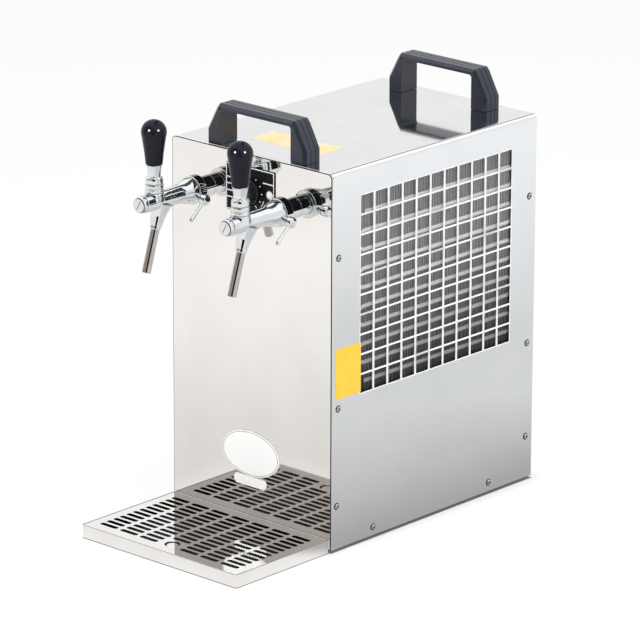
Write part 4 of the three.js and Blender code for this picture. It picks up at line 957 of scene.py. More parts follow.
@dataclass
class Thermostat:
    """Dial plate with its printed lines, scale marks and pilot lamp, and the fluted knob."""

    half: float = 37.0
    low: float = 374.0
    high: float = 429.0
    front: float = 1.3
    ink: float = 0.12
    line: float = 1.3
    border: float = 1.1
    scale_radius: float = 16.6
    arc_radius: float = 22.6
    arc_width: float = 0.9
    knob_radius: float = 14.0
    knob_back: float = 1.6
    knob_length: float = 15.0
    lamp_place: Point = (30.2, 0.0, 402.4)

    def plate(self) -> None:
        """Black plate with a hole for the knob's shaft."""
        hole = round_hole(0.0, DIAL_HEIGHT, DIAL_HOLE, 32)
        shape = rectangle(-self.half, self.low, self.half, self.high, 1.2)
        face = Draft().plate(shape, [hole], 0.3, self.front, Axis.FORWARD)
        face.piece("dial_face", DIAL_INK, "dial_black", "dial_plate", bevel=0.15)

    def lines(self) -> None:
        """White border, lines on both sides of the dial, scale marks and arcs."""
        start, end = self.front, self.front + self.ink
        half, low, high = self.half - 0.5, self.low + 0.5, self.high - 0.5
        inner = half - self.border
        hole = rectangle(-inner, low + self.border, inner, high - self.border, 0.4)
        ink = Draft().plate(rectangle(-half, low, half, high, 0.8), [hole], start, end, Axis.FORWARD)
        bars = [(-inner, z, -24.5) for z in (388.5, 396.0, 404.0, 411.5)]
        for left, z, right in (*bars, (19.5, 413.6, inner), (24.5, 386.4, inner)):
            ink.box((left, -end, z), (right, -start, z + self.line))
        for i in range(11):
            angle = math.radians(240 - 30 * i)
            long = 3.4 if i % 5 == 0 else 2.2
            along = Vector((math.cos(angle), math.sin(angle)))
            across = Vector((-along.y, along.x)) * 0.45
            a, b = along * self.scale_radius, along * (self.scale_radius + long)
            corners = [a - across, b - across, b + across, a + across]
            ink.pulled([(p.x, DIAL_HEIGHT + p.y) for p in corners], start, end, Axis.FORWARD)
        sweep = 50 / 180
        for first in (200 / 180, -70 / 180):
            shape = arc(0.0, DIAL_HEIGHT, self.arc_radius, first, sweep, 14)
            shape += arc(0.0, DIAL_HEIGHT, self.arc_radius - self.arc_width, first + sweep, -sweep, 14)
            ink.pulled(shape, start, end, Axis.FORWARD)
        ink.piece("dial_marks", WHITE_INK, "lamp_white")

    def lamp(self) -> None:
        """Milky pilot lamp in a thin bezel."""
        low = self.front
        profile = rounded([(4.0, low), (4.0, low + 1.2), (2.4, low + 2.6), (0, low + 3.0)], 1.0, 5)
        lens = Draft().turned(profile, self.lamp_place, Axis.FORWARD, 40)
        lens.piece("pilot_lens", LAMP_LENS, "lamp_white", "pilot_lamp", sharp=32)
        profile = rounded([(3.9, low), (5.0, low), (5.0, low + 1.0), (3.9, low + 1.1), (3.9, low)], 0.25, 2)
        bezel = Draft().turned(profile, self.lamp_place, Axis.FORWARD, 40)
        bezel.piece("pilot_bezel", CHROME, "chrome", sharp=32)

    def knob(self) -> None:
        """Fluted knob with a pointer line."""
        back, length, radius = self.knob_back, self.knob_length, self.knob_radius
        profile = [
            (radius, 0.0), (radius, 2.2), (radius - 0.7, 3.0), (radius - 0.9, length - 1.6),
            (radius - 1.5, length - 0.5), (radius - 3.0, length),
        ]
        rows = []
        for index, (r, station) in enumerate(profile):
            row = []
            for i in range(108):
                angle = 2 * math.pi * i / 108
                q = r - (0.0 if index < 2 else 0.75 * max(0.0, math.cos(18 * angle)) ** 2)
                row.append(Vector((q * math.cos(angle), -back - station, DIAL_HEIGHT + q * math.sin(angle))))
            rows.append(row)
        node = "thermostat_knob"
        Draft().skin(rows).piece("dial_knob", BLACK_ABS, "black_plastic", node, node)
        face = back + length
        line = Draft().box((-0.7, -face - 0.35, DIAL_HEIGHT + 2.5), (0.7, -face + 0.3, DIAL_HEIGHT + 10.8))
        line.piece("dial_pointer", WHITE_INK, "lamp_white", body=node, bevel=0.2)

    def build(self) -> None:
        """Builds the thermostat's visible pieces."""
        self.plate()
        self.lines()
        self.lamp()
        self.knob()


@dataclass
class BeerTap:
    """Compensator tap: shank, dome, barrel, plug, bonnet, lever with its knob, spout and flow lever."""

    side: Side
    bonnet_forward: float = 87.0
    ball_height: float = 25.2
    outlet_forward: float = 78.2
    outlet_drop: float = 8.0
    outlet_tilt: float = 17.5
    flow_forward: float = 29.0
    flow_drop: float = 6.5
    x: float = field(init=False)

    def __post_init__(self) -> None:
        """Works out the tap's own place across the front."""
        self.x = self.side.value * TAP_SPACING / 2

    def place(self, forward: float = 0.0, drop: float = 0.0) -> Point:
        """A point of the tap, given by how far it is forward of the sheet and below the tap's axis."""
        return (self.x, -forward, TAP_HEIGHT - drop)

    def chromed(self, draft: Draft, part: str, made: str, body: str = "casing") -> None:
        """Makes a chromed piece that stands for one of the tap's CAD nodes.

        Args:
            draft: Its form.
            part: The CAD node's name without its side.
            made: Last word of the piece's name.
            body: Body it moves with.
        """
        node = f"{part}_{self.side.word}"
        draft.piece(f"{node}_{made}", CHROME, "chrome", node, body, sharp=34)

    def outlet(self, profile: Profile, count: int = 48) -> Draft:
        """Turns a profile about the outlet's axis, which slants down and forward.

        Args:
            profile: Points of radius and distance down the axis.
            count: Segments round the axis.

        Returns:
            The form.
        """
        turn = Matrix.Rotation(math.radians(-self.outlet_tilt), 3, "X")
        made = Draft().turned([(r, -s) for r, s in profile], (0, 0, 0), Axis.UP, count)
        return made.moved(turn, self.place(self.outlet_forward, self.outlet_drop))

    def shank(self) -> None:
        """Shank between the sheet and the collar, with its nut behind the sheet."""
        profile = [
            (0, -36), (5, -36), (5, -26), (12, -26), (12, -1.4), (16.2, -1.4), (16.2, -0.3), (12, -0.3), (12, 16.9),
            (11.3, 17.5), (0, 17.5),
        ]
        self.chromed(Draft().turned(rounded(profile, 0.3), self.place(), Axis.FORWARD, 72), "tap_shank", "turned")

    def web(self) -> Draft:
        """Blade behind the nozzle: it leaves the barrel in a wide curve and runs out at the nozzle's foot."""
        back = eased([(50.5, 8.2), (57.5, 9.6), (62.5, 12.4), (68.0, 18.2), (72.2, 24.2), (76.6, 30.2)], 5)
        lean = math.tan(math.radians(self.outlet_tilt))
        rows = []
        for index, (behind, drop) in enumerate(back):
            share = index / (len(back) - 1)
            fore = self.outlet_forward + (drop - self.outlet_drop) * lean
            big, small = 9.4 - 2.6 * share, 5.4 - 2.9 * share
            rows.append(self.teardrop(fore, big, behind + small, small, TAP_HEIGHT - drop))
        return Draft().skin(rows)

    def teardrop(self, fore: float, big: float, behind: float, small: float, height: float) -> list[Vector]:
        """Level outline round two circles.

        Args:
            fore: Forward place of the larger circle.
            big: Its radius.
            behind: Forward place of the smaller circle.
            small: Its radius.
            height: Height over the counter.

        Returns:
            The outline's points.
        """
        row = []
        for across, forward in ring(1.0, 56):
            ahead = forward * (fore - behind) + big - small > 0
            centre, radius = (fore, big) if ahead else (behind, small)
            row.append(Vector((self.x + radius * across, -centre - radius * forward, height)))
        return row

    def casting(self) -> None:
        """Body: collar, domed chamber, barrel, bonnet boss, blade and coned nozzle."""
        collar = rounded([(0, 17.8), (15.7, 17.8), (16.4, 18.5), (16.4, 28.8), (15.8, 29.5), (15.3, 29.8)], 0.3)
        dome = [(15.3, 30.0), (15.0, 32.5), (14.3, 36.5), (13.0, 41.4), (11.75, 46), (11.1, 50.3), (10.6, 58.6)]
        dome = eased([*dome, (10.3, 68)], 5)
        end = rounded([dome[-1], (10.3, 105.3), (9.7, 106), (0, 106)], 0.4)
        draft = Draft().turned([*collar, *dome, *end[1:]], self.place(), Axis.FORWARD, 80)
        boss = rounded([(0, 0), (12.4, 0), (11.2, 9.2), (10.1, 10.7), (0, 10.7)], 1.4)
        draft.turned(boss, self.place(self.bonnet_forward), Axis.UP, 64).join(self.web())
        flare = eased([(13.2, -3.4), (12.3, -0.4), (11.0, 3.4), (9.9, 7.0), (8.75, 10.6)], 4)
        cone = rounded([(8.6, 11.4), (6.9, 21.8), (6.2, 23.2), (0, 23.2)], 0.4)
        draft.join(self.outlet([(0, -3.4), *flare, *cone], 64))
        flow = rounded([(0, 0), (5.6, 0), (5.0, 15.5), (5.8, 16.2), (5.8, 17.7), (0, 18)], 0.4)
        draft.turned(flow, self.place(self.flow_forward, self.flow_drop), Axis.RIGHT, 40)
        self.chromed(draft, "tap_body", "casting")

    def front_plug(self) -> None:
        """Screw cap with its seal ring, and a coin slot that stands aslant, as left by the screwdriver."""
        node = f"tap_plug_{self.side.word}"
        profile = rounded([(0, 106.3), (9.6, 106.3), (9.6, 109.0), (8.2, 111.9), (7.6, 112.3), (0, 112.3)], 0.5)
        self.chromed(Draft().turned(profile, self.place(), Axis.FORWARD, 64), "tap_plug", "cap")
        seal = [(8.0, 110.6), (8.62, 111.1), (8.2, 112.0), (7.7, 112.0), (8.0, 110.6)]
        Draft().turned(seal, self.place(), Axis.FORWARD, 56).piece(f"{node}_seal", RUBBER, "rubber", sharp=34)
        # Painted shade: a thin black box on the cap stands for the shade inside the slot.
        slot = Draft().box((-6.2, -112.34, -0.45), (6.2, -111.8, 0.45))
        slot.moved(Matrix.Rotation(math.radians(-62), 3, "Y"), self.place())
        slot.piece(f"{node}_slot", BLACK_ABS, "black_plastic", bevel=0.1)

    def bonnet(self) -> None:
        """Ringed bonnet nut with a round seat for the lever's ball."""
        centre, seat = self.ball_height, 10.9
        inner = arc(0.0, centre, seat, -26 / 180, -64 / 180, 10)
        inner[-1] = (0.0, centre - seat)
        profile = [
            (0, 11), (10.2, 11), (10.6, 11.4), (10.6, 14.2), (9.8, 14.9), (9.8, 15.6), (10.6, 16.3), (10.6, 19.3),
            (10.35, 20.0), (10.1, 20.3), inner[0],
        ]
        line = [*rounded(profile, 0.35), *inner[1:]]
        self.chromed(Draft().turned(line, self.place(self.bonnet_forward), Axis.UP, 64), "tap_bonnet", "nut")

    def handle(self) -> None:
        """Lever with its ball, ring and flared ferrule, and the black knob on it."""
        node, body = f"tap_knob_{self.side.word}", f"tap_handle_{self.side.word}"
        place = self.place(self.bonnet_forward)
        centre, radius = self.ball_height, 10.6
        ball = arc(0.0, centre, radius, -90 / 180, 64 / 180, 9)
        ball[0] = (0.0, centre - radius)
        collar = rounded([ball[-1], (10.1, 21.8), (10.15, 26.0), (9.4, 28.2), (7.4, 28.9), (7.3, 30.2)], 0.7, 4)
        flare = eased([(7.35, 30.6), (7.6, 33.4), (8.2, 37.6), (9.0, 41.6)], 5)
        top = rounded([flare[-1], (9.3, 42.3), (9.0, 42.7), (0, 42.7)], 0.3)
        lever = Draft().turned([*ball, *collar[1:], *flare, *top[1:]], place, Axis.UP, 64)
        self.chromed(lever, "tap_lever", "turned", body)
        lower = rounded([(0, 43.0), (9.0, 43.0), (9.8, 43.7), (9.9, 45.0)], 0.4)
        side = eased([(9.95, 45.6), (11.0, 56), (12.3, 65), (13.6, 73.4), (14.4, 78), (14.5, 80.2)], 6)
        head = [(14.5 * c, 80.2 + 14.0 * s) for c, s in arc(0.0, 0.0, 1.0, 0.0, 0.5, 16)[1:-1]]
        knob = Draft().turned([*lower, *side, *head, (0.0, 94.2)], place, Axis.UP, 72)
        knob.piece(f"{node}_moulded", PHENOLIC, "black_plastic", node, body)

    def spout(self) -> None:
        """Clamping ring and the steel spout, a slanted tube with an open tip."""
        node = f"spout_tube_{self.side.word}"
        sleeve = rounded([(0, 23.5), (6.0, 23.5), (6.3, 23.9), (6.3, 25.4), (5.9, 26.0), (0, 26.0)], 0.25)
        self.chromed(self.outlet(sleeve), "spout_sleeve", "ring")
        mouth = rounded([(5.2, 26.3), (5.2, 75.6), (4.9, 76.0), (4.5, 76.0), (4.4, 75.5), (4.4, 67.0), (0, 67.0)], 0.3)
        self.outlet([(0, 26.3), *mouth]).piece(f"{node}_drawn", SPOUT_STEEL, "chrome", node, sharp=34)

    def flow_lever(self) -> None:
        """Round hub on the chamber's right side with a thin arm down and forward."""
        place = Vector(self.place(self.flow_forward, self.flow_drop))
        hub = rounded([(0, 18.3), (5.6, 18.3), (6.3, 19.1), (6.3, 24.9), (5.2, 26.0), (3.2, 26.3), (0, 26.3)], 0.5)
        draft = Draft().turned(hub, place, Axis.RIGHT, 48)
        start = place + Vector((22.3, 0, 0))
        end = start + Vector((0, -22, -19))
        along = (end - start).normalized()
        path = [start, *(start + along * s for s in (5, 13, 22)), *(end + along * s for s in (-1.2, 0, 1.6, 2.6))]
        draft.swept(path, [2.6, 2.2, 2.05, 2.2, 2.6, 2.7, 2.2, 0.6], 28)
        self.chromed(draft, "flow_lever", "turned", f"flow_lever_{self.side.word}")

    def build(self) -> None:
        """Builds the tap from the sheet outward."""
        self.shank()
        self.casting()
        self.front_plug()
        self.bonnet()
        self.handle()
        self.spout()
        self.flow_lever()


@dataclass
class DripTray:
    """Shallow polished pan and the slotted plate that drops into it."""

    half: float = 120.15
    depth: float = 152.5
    height: float = 16.1
    gap: float = 0.3
    rim: float = 1.0
    slot_length: float = 26.6
    slot_width: float = 6.6
    pitch_x: float = 31.3
    pitch_y: float = 10.6
    side_columns: int = 3
    rows: int = 12
    finger_radius: float = 9.0

    def outline(self, inset: float, back: float, radius: float) -> Profile:
        """Outline of the pan, drawn in at the front and the sides.

        Args:
            inset: How far it is drawn in.
            back: Its rear edge along Y.
            radius: Radius of its corners.

        Returns:
            Points across X and Y.
        """
        return rectangle(-self.half + inset, -self.depth + inset, self.half - inset, back, radius)

    def pan(self) -> None:
        """Pan with rounded corners, a turned rim, a ledge under the plate, and a boss under its finger hole."""
        tray, top = "drip_tray", self.height
        outer, inner = self.outline(0.0, -0.1, 2.6), self.outline(1.0, -1.1, 1.8)
        pit, well = self.outline(5.0, -self.gap - 5, 2.6), self.outline(4.9, -5.2, 2.6)
        sole = self.outline(0.6, -self.gap - 0.6, 2.4)
        rows = [
            (pit, 13.2), (pit, 14.0), (inner, 14.0), (inner, top), (outer, top), (outer, 0.6), (sole, 0.0),
            (pit, 0.0), (pit, 13.2),
        ]
        pan = Draft().skin([level(shape, z) for shape, z in rows], capped=False)
        pan.piece("drip_pan", TRAY_STEEL, "polished_steel", tray, tray, bevel=0.4, sharp=30, segments=3)
        # Painted shade: the well and floor under the plate are near black, for the shade inside the pan.
        floor = level(pit, 1.0)
        inside = Draft().skin([level(well, 13.6), level(pit, 13.6), floor], capped=False)
        inside.put(floor, [tuple(range(len(pit)))])
        inside.piece("drip_pan_well", PAN_PIT_SHADE, "polished_steel", body=tray, sharp=30)
        first = -(self.depth + self.gap) / 2 - self.pitch_y * (self.rows - 2) / 2
        profile = [(0, 1.1), (6.6, 1.1), (6.6, 14.9), (6.3, 15.2), (0, 15.2)]
        boss = Draft().turned(profile, (0, first, 0), Axis.UP, 40)
        boss.piece("drip_pan_boss", TRAY_STEEL, "polished_steel", body=tray, sharp=30)
        # Painted shade: dark bands on the rim's top, wider on the left, and round the pan's foot.
        edge = Draft()
        for left, front, low, high in ((1.5, 0.25, top - 0.3, top + 0.02), (0.6, 0.6, 0.0, 0.7)):
            thin = rectangle(-self.half + left, -self.depth + front, self.half - 0.5, -0.7, 2.1)
            edge.plate(self.outline(-0.04, -0.1, 2.6), [thin], low, high, Axis.UP)
        edge.piece("drip_pan_cut_edges", PAN_SHADE_LINE, "polished_steel", body=tray, sharp=30)

    def slot(self, x: float, y: float) -> Profile:
        """One slot with round ends."""
        radius = self.slot_width / 2
        straight = self.slot_length / 2 - radius
        ends = ((x + straight, -0.5), (x - straight, 0.5))
        return [p for end, first in ends for p in arc(end, y, radius, first, 1.0, 8)]

    def grid(self) -> None:
        """Slotted plate with a round finger hole at its front."""
        gap = self.rim + 0.12
        centre = -(self.depth + self.gap) / 2
        half_depth, half = (self.depth - self.gap) / 2 - gap, self.half - gap
        shape = rectangle(-half, centre - half_depth, half, centre + half_depth, 1.4)
        first = centre - self.pitch_y * (self.rows - 1) / 2
        holes = [round_hole(0.0, first + self.pitch_y / 2, self.finger_radius, 40)]
        for column in range(-self.side_columns, self.side_columns + 1):
            for row in range(0 if column else 2, self.rows):
                holes.append(self.slot(column * self.pitch_x, first + row * self.pitch_y))
        plate = Draft().plate(shape, holes, self.height - 0.7, self.height, Axis.UP)
        plate.piece("slotted_plate", TRAY_STEEL, "polished_steel", "drip_grid", "drip_grid")

    def build(self) -> None:
        """Builds the tray and its plate."""
        self.pan()
        self.grid()


@dataclass
class Condenser:
    """Finned condenser behind the outlet grille."""

    front: float = 42.3
    rear: float = 313.7
    bottom: float = 169.0
    top: float = 415.0
    root: float = 93.7
    pitch: float = 1.9
    thickness: float = 0.8
    last_fin: float = 312.5
    fin_steps: int = 10
    runs: int = 10
    run_pitch: float = 22.0
    overhang: float = 9.0

    def fins(self) -> None:
        """Thin upright fins with slightly wavy front edges, which end between the coil's middle and its face."""
        draft = Draft()
        low, high = (corner[0] for corner in Draft.cad_box("condenser_coil"))
        middle, tall, t = (low + high) / 2, self.top - self.bottom, self.thickness
        for i in range(int((self.last_fin - self.front - 1) / self.pitch)):
            y = self.front + 0.6 + i * self.pitch
            wave = 0.25 * math.sin(i * 1.7) + 0.15 * math.sin(i * 0.61)
            edge = middle + (high - middle) * 0.5 + 0.3 * math.sin(i * 2.3)
            for k in range(self.fin_steps):
                points = []
                for step in (k, k + 1):
                    z = self.bottom + tall * step / self.fin_steps
                    a = y + wave * math.sin(step * 1.3 + i)
                    points += [(self.root, y, z), (edge, a, z), (edge, a + t, z), (self.root, y + t, z)]
                draft.put(points, [(0, 1, 5, 4), (1, 2, 6, 5), (2, 3, 7, 6)])
        draft.box((self.root - 2, self.front, self.bottom), (self.root, self.rear, self.top))
        draft.piece("condenser_fin_block", FIN_ALUMINIUM, "dark_aluminium", "condenser_fins", sharp=30)

    def tubes(self) -> None:
        """Tube runs with their return bends in front of the fins, within the CAD coil's height."""
        low, high = Draft.cad_box("condenser_coil")
        radius, x = (high[0] - low[0]) / 2, (low[0] + high[0]) / 2
        z0, z1 = low[2] + radius, high[2] - radius
        pitch = min(self.run_pitch, (z1 - z0) / (self.runs - 1))
        turn = pitch / 2
        near, far = low[1] + turn + radius, high[1] - turn - radius + self.overhang
        path: list[Point] = []
        for row in range(self.runs):
            z = z0 + row * pitch
            start, end, sign = (near, far, 1) if row % 2 == 0 else (far, near, -1)
            path += [(x, start + (end - start) * i / 8, z) for i in range(9)]
            if row < self.runs - 1:
                bend = arc(0.0, z + turn, turn, -0.5, 1.0, 8)[1:-1]
                path += [(x, end + sign * out, height) for out, height in bend]
        tube = Draft().swept(path, [radius], 16)
        tube.piece("condenser_tube_run", COIL_TUBE, "aluminium", "condenser_coil")

    def build(self) -> None:
        """Builds the condenser."""
        self.fins()
        self.tubes()


class RearFittings:
    """Beer inlets on the rear sheet."""

    BODY: Profile = [
        (5.0, 4.0), (5.0, 17.4), (5.4, 18.0), (8.2, 18.0), (8.8, 17.2), (8.8, 14.6), (8.2, 14.0), (8.2, 13.4),
        (9.5, 13.0), (9.5, 3.3), (13.0, 3.3), (13.0, 0.3), (9.5, 0.3), (9.5, -17.3), (0, -17.3), (0, 4.0), (5.0, 4.0),
    ]
    COLLET: Profile = [(3.4, 6.0), (3.4, 17.0), (4.8, 17.0), (4.8, 6.0), (3.4, 6.0)]

    def build(self) -> None:
        """Builds both push-fit inlets, each with a release collet."""
        for side in Side:
            node = f"beer_inlet_{side.word}"
            low, high = Draft.cad_box(node)
            place = ((low[0] + high[0]) / 2, CASING_DEPTH, (low[2] + high[2]) / 2)
            body = Draft().turned(rounded(self.BODY, 0.35), place, Axis.BACK, 48)
            body.piece(f"{node}_body", CHROME, "chrome", node, sharp=34)
            collet = Draft().turned(rounded(self.COLLET, 0.2, 2), place, Axis.BACK, 40)
            collet.piece(f"{node}_collet", GREY_PP, "grey_plastic", sharp=34)


class InnerWorks:
    """Finishes for the CAD nodes whose shape is right as it is."""

    FINISHES: dict[str, Finish] = {
        "base_plate": ZINC_STEEL,
        "rear_panel": WRAP_STEEL,
        "thermostat_body": GREY_PP,
        "fan_shroud": ZINC_STEEL,
        "fan_bracket": ZINC_STEEL,
        "fan_motor": ENAMEL,
        "fan_rotor": GREY_PP,
        "compressor": ENAMEL,
        "block_shelf": ZINC_STEEL,
        "insulation_box": FOAM,
        "cooling_block": ALUMINIUM,
        "insulation_lid": FOAM,
        "terminal_box": GREY_PP,
        "filter_drier": COPPER,
        "discharge_line": COPPER,
        "power_inlet": BLACK_ABS,
    }
    SERIES: dict[str, Finish] = {"tap_line": HOSE, "supply_line": HOSE, "compressor_mount": RUBBER}

    def dress(self, nodes: dict[str, bpy.types.Object]) -> None:
        """Gives each shown CAD node its finish and a fine bevel.

        Args:
            nodes: The frame's CAD nodes by name.
        """
        for name, thing in nodes.items():
            series = (finish for start, finish in self.SERIES.items() if name.startswith(start))
            finish = self.FINISHES.get(name) or next(series, None)
            if finish is None:
                continue
            thing.data.materials.clear()
            thing.data.materials.append(finish.material())
            soften(thing, 0.3, 40)
            LOG.info("%s in %s", name, finish.name)


@dataclass
class Studio:
    """Camera, lamps, floor and the surroundings that the polished metal shows."""

    camera_place: Point = (3.5408, -3.89235, 1.9000)
    camera_turn: Point = (72.33757, -0.19075, 42.30014)
    lens: float = 271.605
    floor_reach: float = 12.0

    def camera(self) -> None:
        """Camera at the photograph's viewing angle."""
        data = bpy.data.cameras.new("view")
        data.lens = self.lens
        data.sensor_width = 36.0
        data.clip_end = 60.0
        made = bpy.data.objects.new("view", data)
        made.location = self.camera_place
        made.rotation_euler = tuple(math.radians(a) for a in self.camera_turn)
        bpy.context.scene.collection.objects.link(made)
        bpy.context.scene.camera = made

    def lamp(
        self, name: str, place: Point, aim: Point, size: float, power: float, round_shape: bool = True
    ) -> bpy.types.Object:
        """One soft lamp, which lights but isn't mirrored: the surroundings hold what the metal shows.

        Args:
            name: Name of the lamp.
            place: Where it stands, in metres.
            aim: What it points at.
            size: Width in metres.
            power: Watts.
            round_shape: Disc if true, square if not.

        Returns:
            The lamp's object.
        """
        data = bpy.data.lights.new(name, "AREA")
        data.shape = "DISK" if round_shape else "SQUARE"
        data.size = size
        data.energy = power
        made = bpy.data.objects.new(name, data)
        made.location = place
        made.rotation_euler = (Vector(aim) - Vector(place)).to_track_quat("-Z", "Y").to_euler()
        made.visible_glossy = False
        bpy.context.scene.collection.objects.link(made)
        return made

    def lamps(self) -> None:
        """Three softboxes for the whole, two discs that the knobs mirror, and a screen for casing and plate."""
        aim = (0.0, 0.0, 0.25)
        self.lamp("softbox_right", (2.35, -0.25, 0.95), aim, 0.62, 16.0)
        self.lamp("softbox_front", (-0.25, -2.55, 0.98), aim, 0.62, 25.0)
        self.lamp("softbox_top", (0.4, 0.2, 2.6), aim, 1.6, 34.0, False)
        knobs = (0.0, -0.19, 0.47)
        self.mirrored_lamp("knob_light_right", (0.922, -0.023, 0.381), knobs, 0.9, 200.0, ("tap_knob",))
        self.mirrored_lamp("knob_light_front", (-0.066, -0.922, 0.376), knobs, 0.9, 200.0, ("tap_knob",))
        top = (0.0, 0.07, 0.44)
        self.mirrored_lamp("sheet_light", (0.66, -0.66, 0.34), top, 2.8, 14.0, ("casing_wrap", "slotted_plate"), False)

    def mirrored_lamp(
        self,
        name: str,
        way: Point,
        aim: Point,
        size: float,
        power: float,
        pieces: tuple[str, ...],
        round_shape: bool = True,
    ) -> None:
        """A lamp three metres away that some pieces mirror, and that lights nothing else.

        Args:
            name: Name of the lamp.
            way: Direction from its target to the lamp.
            aim: What it points at, in metres.
            size: Width in metres.
            power: Watts.
            pieces: How the names of the pieces begin that mirror it.
            round_shape: Disc if true, square if not.
        """
        group = bpy.data.collections.new(f"{name}_pieces")
        for thing in bpy.context.scene.objects:
            if thing.name.startswith(pieces):
                group.objects.link(thing)
        made = self.lamp(name, tuple(Vector(way) * 3.0 + Vector(aim)), aim, size, power, round_shape)
        made.visible_glossy = True
        made.visible_camera = False
        made.data.diffuse_factor = 0.0
        made.light_linking.receiver_collection = group

    @staticmethod
    def step(
        tree: Tree, value: Socket, start: float, end: float, smooth: bool = True
    ) -> Socket:
        """Adds a step from zero to one.

        Args:
            tree: Node tree that takes it.
            value: Socket that drives it.
            start: Value at which it starts.
            end: Value at which it has reached one.
            smooth: Whether its ends are eased.

        Returns:
            The step's socket.
        """
        kind = "SMOOTHSTEP" if smooth else "LINEAR"
        return add_node(
            tree,
            "ShaderNodeMapRange",
            {"interpolation_type": kind},
            {"Value": value, "From Min": start, "From Max": end},
        ).outputs["Result"]

    @staticmethod
    def times(tree: Tree, *values: Socket) -> Socket:
        """Product of several sockets."""
        made = values[0]
        for value in values[1:]:
            made = add_node(tree, "ShaderNodeMath", {"operation": "MULTIPLY"}, {0: made, 1: value}).outputs[0]
        return made

    @staticmethod
    def blend(
        tree: Tree, share: Socket, first: object, second: object
    ) -> Socket:
        """Mix of two colours by a share."""
        return add_node(
            tree, "ShaderNodeMix", {"data_type": "RGBA"}, {0: share, 6: first, 7: second}
        ).outputs[2]

    @staticmethod
    def mirrored_rays(tree: Tree, rays: bpy.types.Node) -> Socket:
        """One for rays that a mirror or a clear wall sends on."""
        return add_node(
            tree, "ShaderNodeMath", {"operation": "MAXIMUM"},
            {0: rays.outputs["Is Glossy Ray"], 1: rays.outputs["Is Transmission Ray"]},
        ).outputs[0]

    @staticmethod
    def flat_place(tree: Tree) -> Socket:
        """Place on the floor, without its height."""
        place = add_node(tree, "ShaderNodeNewGeometry").outputs["Position"]
        return add_node(tree, "ShaderNodeVectorMath", {"operation": "MULTIPLY"}, {0: place, 1: (1, 1, 0)}).outputs[0]

    @staticmethod
    def clearance(
        tree: Tree, flat: Socket, middle: float, half: float
    ) -> Socket:
        """Distance from a place on the floor to a footprint as wide as the casing.

        Args:
            tree: The material's node tree.
            flat: Place on the floor.
            middle: Middle of the footprint along Y, in metres.
            half: Half of its length along Y, in metres.

        Returns:
            Distance socket, zero inside the footprint.
        """
        centred = add_node(
            tree, "ShaderNodeVectorMath", {"operation": "SUBTRACT"}, {0: flat, 1: (0, middle, 0)}
        ).outputs[0]
        size = add_node(tree, "ShaderNodeVectorMath", {"operation": "ABSOLUTE"}, {0: centred}).outputs[0]
        over = add_node(
            tree, "ShaderNodeVectorMath", {"operation": "SUBTRACT"}, {0: size, 1: (0.122, half, 0)}
        ).outputs[0]
        outside = add_node(tree, "ShaderNodeVectorMath", {"operation": "MAXIMUM"}, {0: over, 1: (0, 0, 0)}).outputs[0]
        return add_node(tree, "ShaderNodeVectorMath", {"operation": "LENGTH"}, {0: outside}).outputs["Value"]

    def floor_colour(self, tree: Tree) -> Socket:
        """Paper as the metal shows it: painted shadow grey near the object's foot, dark far in front."""
        flat = self.flat_place(tree)
        share = self.step(tree, self.clearance(tree, flat, 0.0, 0.261), 0.0, 1.5, False)
        right = ramp(
            tree, share,
            [
                (0.0, "#A9A8A7"), (0.02, "#B0AFAF"), (0.07, "#C2C2C2"), (0.13, "#D0D0D0"), (0.2, "#DADBDB"),
                (0.4, "#DBDCDC"), (0.53, "#E4E5E6"), (0.73, "#F0F1F2"), (0.9, "#F8F9FA"),
            ],
        )
        left = ramp(
            tree, share,
            [
                (0.0, "#F0EEEC"), (0.05, "#E4E1DE"), (0.13, "#E8E6E3"), (0.2, "#EDEBE8"), (0.3, "#F4F2EF"),
                (0.4, "#F9F7F5"), (0.6, "#FEFCFA"), (0.8, "#F9F6F2"),
            ],
        )
        bias = add_node(tree, "ShaderNodeVectorMath", {"operation": "DOT_PRODUCT"}, {0: flat, 1: (1.0, 0.9, 0)})
        near = self.blend(tree, self.step(tree, bias.outputs["Value"], 0.0, 0.06), left, right)
        way = add_node(tree, "ShaderNodeVectorMath", {"operation": "NORMALIZE"}, {0: flat}).outputs[0]
        ways = add_node(tree, "ShaderNodeSeparateXYZ", inputs={0: way})
        reach = add_node(tree, "ShaderNodeVectorMath", {"operation": "LENGTH"}, {0: flat}).outputs["Value"]
        dim = self.times(
            tree,
            self.step(tree, ways.outputs["X"], 0.25, 0.42),
            self.step(tree, ways.outputs["Y"], -0.5, -0.62),
            self.step(tree, reach, 1.55, 1.9),
        )
        return self.blend(tree, dim, near, srgb("#1A1A1C"))

